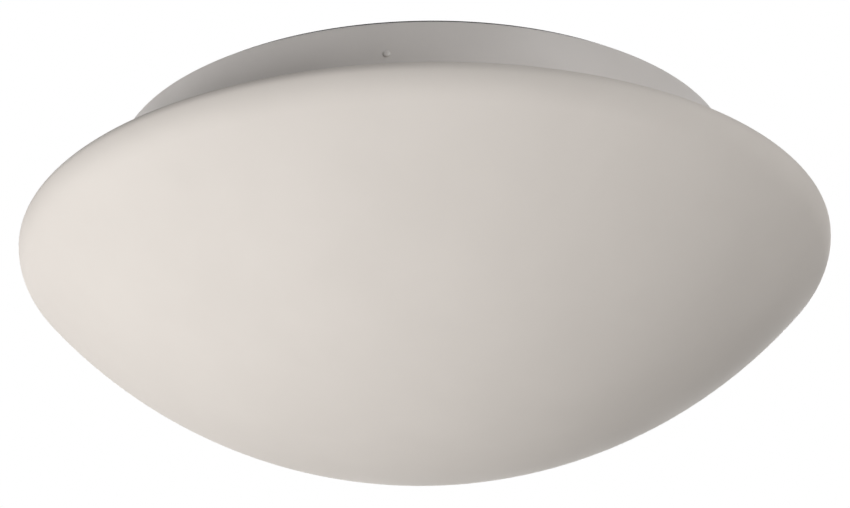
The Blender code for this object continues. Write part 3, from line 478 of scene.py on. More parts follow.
def sheet_outline(line: Sequence[Point], left: float, right: float) -> list[Point]:
    """Outline a bent sheet from a line that runs along it.

    Args:
        line: the points of the line.
        left: how far one face lies to the left of the line.
        right: how far the other face lies to the left of the line, negative for the right.

    Returns:
        The outline, out along the left face and back along the right one.
    """
    places = [Vector(point) for point in line]
    runs = [(end - start).normalized() for start, end in zip(places, places[1:])]
    sides = []
    for before, after in zip([runs[0], *runs], [*runs, runs[-1]]):
        mean = (before + after).normalized()
        sides.append(Vector((-mean.y, mean.x)) / mean.dot(after))
    out = [tuple(place + side * left) for place, side in zip(places, sides)]
    back = [tuple(place + side * right) for place, side in zip(places, sides)]
    return out + back[::-1]


# Modelling


def select_only(piece: bpy.types.Object) -> None:
    """Select one piece and make it the active one."""
    bpy.ops.object.select_all(action="DESELECT")
    piece.select_set(True)
    bpy.context.view_layer.objects.active = piece


def draw_line(name: str, points: Sequence[Vector], closed: bool) -> bpy.types.Object:
    """Draw a line of edges by extruding one vertex, and leave it selected in edit mode.

    Args:
        name: the new piece's name.
        points: the line's points.
        closed: whether the line runs back to its start.

    Returns:
        The new piece.
    """
    bpy.ops.object.select_all(action="DESELECT")
    bpy.ops.mesh.primitive_plane_add(size=SEED_SIZE)
    piece = bpy.context.object
    piece.name = name
    bpy.ops.object.mode_set(mode="EDIT")
    bpy.ops.mesh.select_all(action="SELECT")
    bpy.ops.mesh.merge(type="CENTER")
    bpy.ops.transform.translate(value=points[0])
    route = [*points, points[0]] if closed else list(points)
    for start, end in zip(route, route[1:]):
        bpy.ops.mesh.extrude_region_move(TRANSFORM_OT_translate={"value": end - start})
    bpy.ops.mesh.select_all(action="SELECT")
    bpy.ops.mesh.remove_doubles(threshold=JOIN_DISTANCE)
    return piece


def close_up(piece: bpy.types.Object, place: Matrix) -> bpy.types.Object:
    """Merge a shell's doubles, turn its faces outwards, leave edit mode and put the shell in its place.

    Args:
        piece: the piece in edit mode.
        place: where its own frame lies.

    Returns:
        The piece.
    """
    bpy.ops.mesh.select_all(action="SELECT")
    bpy.ops.mesh.remove_doubles(threshold=JOIN_DISTANCE)
    bpy.ops.mesh.normals_make_consistent(inside=False)
    bpy.ops.object.mode_set(mode="OBJECT")
    piece.data.transform(place)
    return piece


def turned(
    name: str, outline: Sequence[Point], steps: int, place: Matrix = Matrix(), closed: bool = False
) -> bpy.types.Object:
    """Spin an outline of radius and height about the local Z axis.

    Args:
        name: the new piece's name.
        outline: its points, from axis to axis, or a closed ring.
        steps: how many faces go round.
        place: where the local frame lies.
        closed: whether the outline is a closed ring.

    Returns:
        The new piece.
    """
    piece = draw_line(name, [Vector((radius, 0, height)) for radius, height in outline], closed)
    bpy.ops.mesh.spin(
        steps=steps, angle=FULL_TURN, center=(0, 0, 0), axis=(0, 0, 1), use_auto_merge=True
    )
    return close_up(piece, place)


def extruded(
    name: str, outline: Sequence[Point], depth: float, place: Matrix = Matrix()
) -> bpy.types.Object:
    """Extrude a closed outline from the local XY plane along +Z.

    Args:
        name: the new piece's name.
        outline: the outline's points.
        depth: how far it is extruded.
        place: where the local frame lies.

    Returns:
        The new piece.
    """
    piece = draw_line(name, [Vector((*point, 0)) for point in outline], closed=True)
    bpy.ops.mesh.edge_face_add()
    bpy.ops.mesh.extrude_region_move(TRANSFORM_OT_translate={"value": (0, 0, depth)})
    return close_up(piece, place)


def threaded(
    name: str, root: float, crest: float, pitch: float, low: float, high: float, steps: int,
    wall: float = 0.0,
) -> bpy.types.Object:
    """Roll a right-hand thread about the local Z axis, cut flat at both ends.

    Every thread of one pitch is in step with the others, because its first crest is half a pitch above
    a whole number of pitches.

    Args:
        name: the new piece's name.
        root: the thread's smallest radius.
        crest: its largest radius.
        pitch: its rise in one turn.
        low: the height of its lower end.
        high: the height of its upper end.
        steps: how many faces go round.
        wall: the thickness of a rolled shell, or zero for a solid rod.

    Returns:
        The new piece.
    """
    start = (math.floor(low / pitch) - 2) * pitch
    profile = []
    for step in range(THREAD_STEPS + 1):
        share = step / THREAD_STEPS
        swell = (1 - math.cos(share * FULL_TURN)) / 2
        profile.append(Vector((root + (crest - root) * swell, 0, start + share * pitch)))
    piece = draw_line(name, profile, closed=False)
    bpy.ops.object.mode_set(mode="OBJECT")
    roll = piece.modifiers.new("thread", "SCREW")
    roll.steps = steps
    roll.render_steps = steps
    roll.screw_offset = pitch
    roll.iterations = math.ceil((high - start) / pitch) + 1
    roll.use_merge_vertices = True
    roll.merge_threshold = JOIN_DISTANCE
    bpy.ops.object.modifier_apply(modifier=roll.name)
    bpy.ops.object.mode_set(mode="EDIT")
    for height, below in ((low, True), (high, False)):
        bpy.ops.mesh.select_all(action="SELECT")
        bpy.ops.mesh.remove_doubles(threshold=JOIN_DISTANCE)
        bpy.ops.mesh.bisect(
            plane_co=(0, 0, height), plane_no=(0, 0, 1), threshold=CUT_TOLERANCE,
            use_fill=not wall, clear_inner=below, clear_outer=not below,
        )
    close_up(piece, Matrix())
    if wall:
        shell = piece.modifiers.new("wall", "SOLIDIFY")
        shell.thickness = wall
        shell.offset = 1
        bpy.ops.object.modifier_apply(modifier=shell.name)
    return piece


def rod(radius: float, length: float, place: Matrix, steps: int = FINE_STEPS) -> bpy.types.Object:
    """Add a plain round bar to cut or join with, from 0 to its length along the local Z axis.

    Args:
        radius: its radius.
        length: its length.
        place: where the local frame lies.
        steps: how many faces go round.

    Returns:
        The bar.
    """
    bpy.ops.object.select_all(action="DESELECT")
    bpy.ops.mesh.primitive_cylinder_add(
        vertices=steps, radius=radius, depth=length, location=(0, 0, length / 2)
    )
    bar = bpy.context.object
    bpy.ops.object.transform_apply(location=True, rotation=True, scale=True)
    bar.data.transform(place)
    return bar


def block(size: Vector, place: Matrix) -> bpy.types.Object:
    """Add a plain block to cut with, centred on its place.

    Args:
        size: its three sizes.
        place: where the local frame lies.

    Returns:
        The block.
    """
    bpy.ops.object.select_all(action="DESELECT")
    bpy.ops.mesh.primitive_cube_add(size=1, scale=size)
    cube = bpy.context.object
    bpy.ops.object.transform_apply(location=True, rotation=True, scale=True)
    cube.data.transform(place)
    return cube


def combine(piece: bpy.types.Object, tool: bpy.types.Object, change: Change = Change.CUT) -> None:
    """Cut a tool out of a piece, or join it on, remove the tool and merge the doubles that it leaves.

    Args:
        piece: the piece that stays.
        tool: the piece that is used up.
        change: what the tool does to the piece.
    """
    select_only(piece)
    boolean = piece.modifiers.new("combine", "BOOLEAN")
    boolean.operation = change.value
    boolean.solver = "EXACT"
    boolean.object = tool
    bpy.ops.object.modifier_apply(modifier=boolean.name)
    bpy.data.objects.remove(tool)
    bpy.ops.object.mode_set(mode="EDIT")
    bpy.ops.mesh.select_all(action="SELECT")
    bpy.ops.mesh.remove_doubles(threshold=JOIN_DISTANCE)
    bpy.ops.object.mode_set(mode="OBJECT")


def soften(piece: bpy.types.Object, width: float) -> None:
    """Round every sharp edge of a piece by a small width.

    Args:
        piece: the piece.
        width: the rounding's width.
    """
    select_only(piece)
    edges = piece.modifiers.new("edges", "BEVEL")
    edges.width = width
    edges.segments = EDGE_STEPS
    edges.limit_method = "ANGLE"
    edges.angle_limit = SMOOTH_ANGLE
    bpy.ops.object.modifier_apply(modifier=edges.name)


def round_edges(
    piece: bpy.types.Object, radius: float, choose: Callable[[Vector, Vector], bool]
) -> None:
    """Round the edges that a test picks by their two ends.

    Args:
        piece: the piece.
        radius: the rounding's radius.
        choose: says whether an edge between two places is rounded.
    """
    select_only(piece)
    bpy.context.tool_settings.mesh_select_mode = (False, True, False)
    bpy.ops.object.mode_set(mode="EDIT")
    bpy.ops.mesh.select_all(action="DESELECT")
    bpy.ops.object.mode_set(mode="OBJECT")
    vertices = piece.data.vertices
    for edge in piece.data.edges:
        first, second = edge.vertices
        edge.select = choose(vertices[first].co, vertices[second].co)
    bpy.ops.object.mode_set(mode="EDIT")
    bpy.ops.mesh.bevel(offset=radius, segments=BEND_STEPS)
    bpy.ops.object.mode_set(mode="OBJECT")
    bpy.context.tool_settings.mesh_select_mode = (True, False, False)


def stretch_ends(piece: bpy.types.Object, reach: float) -> None:
    """Move the halves of a round bar apart along X, so that it becomes a slot's bar.

    Args:
        piece: the bar, centred on x 0.
        reach: how far each half moves.
    """
    select_only(piece)
    for side in (-1, 1):
        bpy.ops.object.mode_set(mode="EDIT")
        bpy.ops.mesh.select_all(action="DESELECT")
        bpy.ops.object.mode_set(mode="OBJECT")
        for vertex in piece.data.vertices:
            vertex.select = vertex.co.x * side > JOIN_DISTANCE
        bpy.ops.object.mode_set(mode="EDIT")
        bpy.ops.transform.translate(value=(side * reach, 0, 0))
        bpy.ops.object.mode_set(mode="OBJECT")


def copies(
    piece: bpy.types.Object, names: Sequence[str], places: Sequence[Matrix]
) -> list[bpy.types.Object]:
    """Copy a piece to its places, each copy with its own mesh, and remove the first.

    Args:
        piece: the piece to copy.
        names: the copies' names.
        places: where each copy's local frame lies.

    Returns:
        The copies.
    """
    made = []
    for name, place in zip(names, places):
        copy = piece.copy()
        copy.data = piece.data.copy()
        copy.name = name
        copy.data.transform(place)
        bpy.context.scene.collection.objects.link(copy)
        made.append(copy)
    bpy.data.objects.remove(piece)
    return made


def tube(name: str, route: Sequence[Vector], radius: float) -> bpy.types.Object:
    """Run a round tube along a smooth curve through the points of its route.

    Args:
        name: the new piece's name.
        route: the points that it runs through.
        radius: its radius.

    Returns:
        The tube as a closed mesh.
    """
    bpy.ops.object.select_all(action="DESELECT")
    curve = bpy.data.curves.new(name, "CURVE")
    curve.dimensions = "3D"
    curve.bevel_depth = radius
    curve.bevel_resolution = TUBE_BEVELS
    curve.use_fill_caps = True
    line = smooth_route(route)
    spline = curve.splines.new("POLY")
    spline.points.add(len(line) - 1)
    for point, place in zip(spline.points, line):
        point.co = (*place, 1)
    piece = bpy.data.objects.new(name, curve)
    bpy.context.scene.collection.objects.link(piece)
    select_only(piece)
    bpy.ops.object.convert(target="MESH")
    bpy.ops.object.mode_set(mode="EDIT")
    return close_up(piece, Matrix())


def smooth_route(corners: Sequence[Vector]) -> list[Vector]:
    """Read close points from a Catmull-Rom curve through the corners of a route.

    Args:
        corners: the points that the curve passes.

    Returns:
        The curve's points.
    """
    first = 2 * corners[0] - corners[1]
    last = 2 * corners[-1] - corners[-2]
    chain = [first, *corners, last]
    line = []
    for before, start, end, after in zip(chain, chain[1:], chain[2:], chain[3:]):
        for step in range(BEND_STEPS):
            share = step / BEND_STEPS
            line.append(
                0.5 * (
                    2 * start + (end - before) * share
                    + (2 * before - 5 * start + 4 * end - after) * share ** 2
                    + (3 * start - before - 3 * end + after) * share ** 3
                )
            )
    return [*line, corners[-1]]


def dress(piece: bpy.types.Object, finish: Finish, body: Body, *nodes: str) -> None:
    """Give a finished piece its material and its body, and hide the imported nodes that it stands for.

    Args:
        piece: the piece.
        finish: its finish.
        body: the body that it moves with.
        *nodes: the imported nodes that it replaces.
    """
    if not piece.data.materials:
        piece.data.materials.append(finish.material())
    select_only(piece)
    bpy.ops.object.shade_smooth_by_angle(angle=SMOOTH_ANGLE)
    piece.select_set(False)
    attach(piece, body.value)
    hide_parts(*nodes)
    log.info("%s: %d faces on %s", piece.name, len(piece.data.polygons), body.value)


def reach_of(node: str) -> tuple[Vector, Vector, Vector]:
    """Return the lowest corner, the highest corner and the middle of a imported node."""
    low, high = (Vector(corner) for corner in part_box(node))
    return low, high, (low + high) / 2


def at(place: Sequence[float]) -> Matrix:
    """Return the matrix that moves a local frame to a place."""
    return Matrix.Translation(Vector(place))


ALONG_X = Matrix.Rotation(QUARTER_TURN, 4, "Y")
UPRIGHT = Matrix.Rotation(QUARTER_TURN, 4, "X")


# Pieces


@dataclass
class Shade:
    """The opal glass shade, its neck with a bead, and the silicone seal on its seat."""

    wall: float = 0.003
    equator_drop: float = 0.038
    rim_radius: float = 0.015
    dome_radius: float = 0.193
    shoulder_radius: float = 0.005
    seat_radius: float = 0.1155
    neck_height: float = 0.016
    neck_fillet: float = 0.002
    bead_rounding: float = 0.0013
    seal_rounding: float = 0.0005
    seal_groove: float = 0.0004

    def outline(self) -> list[Point]:
        """Outline the glass, up the inside from the axis, over the bead and down the outside.

        Returns:
            The outline's points, from axis to axis.
        """
        low, high, _ = reach_of("glass_shade")
        radius = high.x
        wall = self.wall
        seat_z = high.z - self.neck_height
        equator_z = -(OUTER_LAND_DROP + self.equator_drop)
        seat = (self.seat_radius, seat_z)
        shoulder = (radius - self.shoulder_radius, equator_z)
        run = shoulder[0] - seat[0]
        fall = seat_z - equator_z
        reach = math.hypot(run, fall)
        slope = math.degrees(math.atan2(fall, run) - math.asin(self.shoulder_radius / reach))
        lean = 90 - slope
        rim = (radius - self.rim_radius, equator_z)
        join = math.degrees(math.acos(rim[0] / (self.dome_radius - self.rim_radius)))
        dome = (0, low.z + self.dome_radius)
        fillet = (NECK_RADIUS + self.neck_fillet, seat_z + self.neck_fillet)
        bead = NECK_RADIUS + BEAD_STAND - self.bead_rounding
        bead_low = high.z - BEAD_HEIGHT + self.bead_rounding
        outside = [
            *arc((bead, high.z - self.bead_rounding), self.bead_rounding, 90, 0, BEND_STEPS),
            *arc((bead, bead_low), self.bead_rounding, 0, -90, BEND_STEPS),
            (NECK_RADIUS, high.z - BEAD_HEIGHT),
            *arc(fillet, self.neck_fillet, 180, 270, BEND_STEPS),
            seat,
            *arc(shoulder, self.shoulder_radius, lean, 0, 2 * BEND_STEPS),
            *arc(rim, self.rim_radius, 0, -join, 3 * BEND_STEPS)[1:],
            *arc(dome, self.dome_radius, -join, -90, 6 * BEND_STEPS)[1:-1],
            (0, low.z),
        ]
        corner = wall * math.tan(math.radians(slope / 2))
        inside = [
            (0, low.z + wall),
            *arc(dome, self.dome_radius - wall, -90, -join, 4 * BEND_STEPS)[1:-1],
            *arc(rim, self.rim_radius - wall, -join, 0, 2 * BEND_STEPS)[:-1],
            *arc(shoulder, self.shoulder_radius - wall, 0, lean, BEND_STEPS),
            (seat[0] - corner, seat_z - wall),
            *arc(fillet, self.neck_fillet + wall, 270, 180, BEND_STEPS),
            (NECK_RADIUS - wall, high.z - self.seal_rounding),
            (NECK_RADIUS - wall + self.seal_rounding, high.z),
        ]
        return inside + outside

    def build(self) -> None:
        """Turn the glass and its seal."""
        glass = turned("opal_shade", self.outline(), WIDE_STEPS)
        dress(glass, OPAL_GLASS, Body.SHADE, "glass_shade")

        low, high, _ = reach_of("shade_seal")
        outer = high.x
        inner = NECK_RADIUS + self.neck_fillet + self.seal_rounding
        soft = self.seal_rounding
        groove = self.seal_groove
        middle = (inner + outer) / 2
        ring = rounded(
            [
                (outer, high.z, soft),
                (outer, low.z, soft),
                (inner, low.z, soft),
                (inner, high.z, soft),
                (middle - 3 * groove, high.z, 0),
                (middle, high.z - 2 * groove, groove),
                (middle + 3 * groove, high.z, 0),
            ],
            closed=True,
        )
        seal = turned("neck_seal", ring, WIDE_STEPS, closed=True)
        dress(seal, SILICONE, Body.SHADE, "shade_seal")


@dataclass
class Pan:
    """The pressed steel pan with its foam gasket and the grommet in its cable entry."""

    sheet: float = 0.0008
    edge_radius: float = 0.0013
    lip_width: float = 0.005
    lip_radius: float = 0.0014
    land_radius: float = 0.042
    trough_depth: float = 0.004
    slope_run: float = 0.004
    trough_to_wall: float = 0.026
    step_run: float = 0.003
    press_radius: float = 0.0016
    slot_width: float = 0.0052
    slot_length: float = 0.014
    slot_inset: float = 0.010
    hole_gap: float = 0.0004
    rivet_hole_radius: float = 0.0010
    groove_radius: float = 0.0078
    gasket_width: float = 0.014
    gasket_rounding: float = 0.0003
    # How far the black gasket reaches past its solid. It draws the thin dark line above the pan, partly
    # the gasket's own edge and partly painted shade of the pan's rounded edge.
    gasket_shade_line_spread: float = 0.0003
    bore_radius: float = 0.0046
    flange: float = 0.0017
    nose_wall: float = 0.0014
    grommet_gap: float = 0.0002
    rubber_rounding: float = 0.0005

    def build(self) -> None:
        """Press the pan, pierce it, and fit its gasket and grommet."""
        self.build_pressing()
        self.build_gasket()
        self.build_grommet()

    def build_pressing(self) -> None:
        """Press the pan and cut its slots and holes."""
        low, high, _ = reach_of("base_pan")
        radius = high.x
        trough_inner = self.land_radius + self.slope_run
        trough_outer = radius - self.trough_to_wall
        bend = self.press_radius
        line = rounded([
            (0, 0, 0),
            (self.land_radius, 0, bend),
            (trough_inner, -self.trough_depth, bend),
            (trough_outer, -self.trough_depth, bend),
            (trough_outer + self.step_run, -OUTER_LAND_DROP, bend),
            (radius, -OUTER_LAND_DROP, self.edge_radius),
            (radius, low.z, self.lip_radius),
            (radius - self.lip_width, low.z, 0),
        ])
        outline = sheet_outline(line, -self.sheet, 0)
        pan = turned("steel_pan", outline, WIDE_STEPS)

        through = self.trough_depth + self.sheet + 2 * OVERRUN
        bottom = -(self.trough_depth + self.sheet + OVERRUN)
        for side in (-1, 1):
            slot = rod(self.slot_width / 2, through, Matrix())
            stretch_ends(slot, (self.slot_length - self.slot_width) / 2)
            slot.data.transform(at((0, side * (self.land_radius - self.slot_inset), bottom)))
            combine(pan, slot)
        holes = [
            ("cable_grommet", self.groove_radius),
            ("earth_screw", M4.shank_radius),
            ("bracket_screw_1", M4.shank_radius),
            ("bracket_screw_2", M4.shank_radius),
            ("terminal_fixing_screw_1", M3.shank_radius),
            ("terminal_fixing_screw_2", M3.shank_radius),
        ]
        for node, hole_radius in holes:
            middle = reach_of(node)[2]
            hole = rod(hole_radius + self.hole_gap, through, at((middle.x, middle.y, bottom)))
            combine(pan, hole)
        for azimuth, height in rivet_places():
            place = Matrix.Rotation(azimuth, 4, "Z") @ at((radius - 2 * OVERRUN, 0, height)) @ ALONG_X
            combine(pan, rod(self.rivet_hole_radius, 3 * OVERRUN, place, HOLE_STEPS))
        dress(pan, POWDER_COAT, Body.BASE, "base_pan")

    def build_gasket(self) -> None:
        """Lay the foam gasket on the pan's outer land, spread a little wider than its solid.

        Its black spread edge is what shows as a thin dark line above the pan. That line is partly the
        gasket itself and partly painted shade, standing in for the shade where the pan's rounded edge
        turns away from the light.
        """
        low, high, _ = reach_of("ceiling_gasket")
        # Widened past the solid so that the black edge paints the shade line above the pan.
        outer = high.x + self.gasket_shade_line_spread
        inner = high.x - self.gasket_width
        soft = self.gasket_rounding
        ring = rounded(
            [(outer, high.z, soft), (outer, low.z, soft), (inner, low.z, soft), (inner, high.z, soft)],
            closed=True, steps=EDGE_STEPS,
        )
        gasket = turned("foam_gasket", ring, WIDE_STEPS, closed=True)
        dress(gasket, FOAM, Body.BASE, "ceiling_gasket")

    def build_grommet(self) -> None:
        """Turn the rubber grommet with its groove round the pan's sheet."""
        low, high, middle = reach_of("cable_grommet")
        flange_radius = (high.x - low.x) / 2
        sheet_low = -(self.trough_depth + self.sheet)
        soft = self.rubber_rounding
        ring = rounded(
            [
                (self.bore_radius, high.z, soft),
                (flange_radius, high.z, soft),
                (flange_radius, high.z - self.flange, soft),
                (self.groove_radius, high.z - self.flange, 0),
                (self.groove_radius, sheet_low - self.grommet_gap, 0),
                (flange_radius, sheet_low - self.grommet_gap, soft),
                (flange_radius, sheet_low - self.flange, soft),
                (self.bore_radius + self.nose_wall, low.z, soft),
                (self.bore_radius, low.z, soft),
            ],
            closed=True, steps=SOFT_EDGE_STEPS,
        )
        grommet = turned(
            "rubber_grommet", ring, SMALL_STEPS, at((middle.x, middle.y, 0)), closed=True
        )
        dress(grommet, RUBBER, Body.BASE, "cable_grommet")


def rivet_places() -> list[tuple[float, float]]:
    """Return the azimuth and the height of each clip's rivet."""
    middles = [reach_of(f"clip_rivet_{number}")[2] for number in (1, 2, 3)]
    return [(math.atan2(middle.y, middle.x), middle.z) for middle in middles]


@dataclass
class SpringClips:
    """The three spring clips that grip the shade's bead, and their rivets."""

    width: float = 0.010
    sheet: float = 0.0005
    top_reach: float = 0.005
    bend_radius: float = 0.0014
    bend_end: float = -150.0
    knee_gap: float = 0.0006
    knee_drop: float = 0.003
    knee_radius: float = 0.001
    tip_stand: float = 0.0028
    tip_rise: float = 0.0037
    wall_gap: float = 0.0013
    rim_gap: float = 0.0011
    hole_radius: float = 0.0012
    corner: float = 0.0015
    head_radius: float = 0.0013
    head_height: float = 0.0006
    head_stand: float = 0.0001
    shank_radius: float = 0.0009
    tail_radius: float = 0.0015
    tail_height: float = 0.0007
    tail_end_share: float = 0.8
    grip: float = 0.0024

    def build(self) -> None:
        """Bend one clip and turn one rivet, and copy both to their places."""
        places = rivet_places()
        turns = [Matrix.Rotation(azimuth, 4, "Z") for azimuth, _ in places]
        numbers = range(1, len(places) + 1)
        clip = self.bend_clip(places[0][1])
        clips = copies(clip, [f"spring_clip_{number}" for number in numbers], turns)
        for number, piece in zip(numbers, clips):
            dress(piece, SPRING_STEEL, Body.BASE, f"shade_clip_{number}")
        rivet = self.turn_rivet(places[0][1])
        rivets = copies(rivet, [f"rivet_{number}" for number in numbers], turns)
        for number, piece in zip(numbers, rivets):
            dress(piece, POWDER_COAT, Body.BASE, f"clip_rivet_{number}")

    def bend_clip(self, height: float) -> bpy.types.Object:
        """Bend the clip on the +X side, pierce it and round its corners.

        Args:
            height: the height of its rivet.

        Returns:
            The clip.
        """
        pan_low, pan_high, _ = reach_of("base_pan")
        glass_high = reach_of("glass_shade")[1]
        back = pan_high.x - self.wall_gap - self.sheet / 2
        underside = glass_high.z - BEAD_HEIGHT
        centre = (back - self.bend_radius, pan_low.z + self.rim_gap + self.sheet / 2 + self.bend_radius)
        bend = arc(centre, self.bend_radius, 0, self.bend_end, 2 * BEND_STEPS)
        tip = (NECK_RADIUS + BEAD_STAND + self.tip_stand, underside + self.tip_rise)
        knee = (NECK_RADIUS + self.knee_gap + self.sheet / 2, underside - self.knee_drop)
        line = [
            (back, height + self.top_reach),
            *bend,
            *rounded([(*bend[-1], 0), (*knee, self.knee_radius), (*tip, 0)])[1:],
        ]
        outline = sheet_outline(line, self.sheet / 2, -self.sheet / 2)
        clip = extruded("spring_clip", outline, self.width, at((0, self.width / 2, 0)) @ UPRIGHT)
        top = height + self.top_reach - self.sheet

        def at_top_corner(first: Vector, second: Vector) -> bool:
            """Pick the two short edges across the sheet at the clip's top corners."""
            beside = first.y * second.y > 0 and abs(first.y - second.y) < JOIN_DISTANCE
            return beside and min(first.z, second.z) > top

        round_edges(clip, self.corner, at_top_corner)
        hole = rod(self.hole_radius, 2 * OVERRUN, at((back - OVERRUN, 0, height)) @ ALONG_X)
        combine(clip, hole)
        return clip

    def turn_rivet(self, height: float) -> bpy.types.Object:
        """Turn the rivet on the +X side, its domed head outside the pan's wall.

        The head is as wide as the small bump that shows, which is a little less than its solid.

        Args:
            height: the rivet's height.

        Returns:
            The rivet.
        """
        dome = arc((0, 0), 1, 90, 0, BEND_STEPS)
        end = -self.grip - self.tail_height
        outline = [
            *[(self.head_radius * across, self.head_height * along) for across, along in dome],
            (self.shank_radius, 0),
            (self.shank_radius, -self.grip),
            (self.tail_radius, -self.grip),
            (self.tail_radius * self.tail_end_share, end),
            (0, end),
        ]
        wall = reach_of("base_pan")[1].x
        place = at((wall + self.head_stand, 0, height)) @ ALONG_X
        return turned("rivet", outline, FINE_STEPS, place)


@dataclass
class ScrewSize:
    """A pan-head screw with a threaded shank and a cross recess in its head."""

    shank_radius: float
    head_radius: float
    head_height: float
    pitch: float
    recess_width: float = 0.0009
    recess_reach_share: float = 1.15
    recess_depth_share: float = 0.55
    root_share: float = 0.86
    side_share: float = 0.45
    crown_share: float = 0.6
    seat_edge_share: float = 1 / 12
    rooted_share: float = 1 / 4

    def build(self, length: float) -> bpy.types.Object:
        """Turn the screw with its tail at the local origin and its head towards local -Z.

        Args:
            length: the length of the shank.

        Returns:
            The screw.
        """
        radius = self.head_radius
        height = self.head_height
        crown = height * self.side_share / 2
        shank = threaded(
            "screw", self.shank_radius * self.root_share, self.shank_radius, self.pitch,
            -length - height * self.rooted_share, 0, FINE_STEPS,
        )
        head = turned(
            "head",
            rounded([
                (0, -length, 0),
                (radius, -length, height * self.seat_edge_share),
                (radius, -length - height * self.side_share, crown),
                (radius * self.crown_share, -length - height, crown),
                (0, -length - height, 0),
            ], steps=CROWN_STEPS),
            FINE_STEPS,
        )
        combine(shank, head, Change.JOIN)
        depth = 2 * height * self.recess_depth_share
        reach = radius * self.recess_reach_share
        for angle in (0, QUARTER_TURN):
            place = Matrix.Rotation(angle, 4, "Z") @ at((0, 0, -length - height))
            combine(shank, block(Vector((reach, self.recess_width, depth)), place))
        return shank


M4 = ScrewSize(shank_radius=0.0019, head_radius=0.0038, head_height=0.0024, pitch=0.0007)
M3 = ScrewSize(shank_radius=0.0014, head_radius=0.0028, head_height=0.0018, pitch=0.0005)


def fit_screws(nodes: Sequence[str], size: ScrewSize, level: bool = False) -> None:
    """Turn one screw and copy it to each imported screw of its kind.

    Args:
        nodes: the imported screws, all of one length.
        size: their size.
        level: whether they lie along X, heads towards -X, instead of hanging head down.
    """
    low, high, _ = reach_of(nodes[0])
    whole = high.x - low.x if level else high.z - low.z
    screw = size.build(whole - size.head_height)
    places = []
    for node in nodes:
        _, top, middle = reach_of(node)
        if level:
            places.append(at((top.x, middle.y, middle.z)) @ ALONG_X)
        else:
            places.append(at((middle.x, middle.y, top.z)))
    for node, piece in zip(nodes, copies(screw, [f"{node}_piece" for node in nodes], places)):
        dress(piece, ZINC_STEEL, Body.BASE, node)


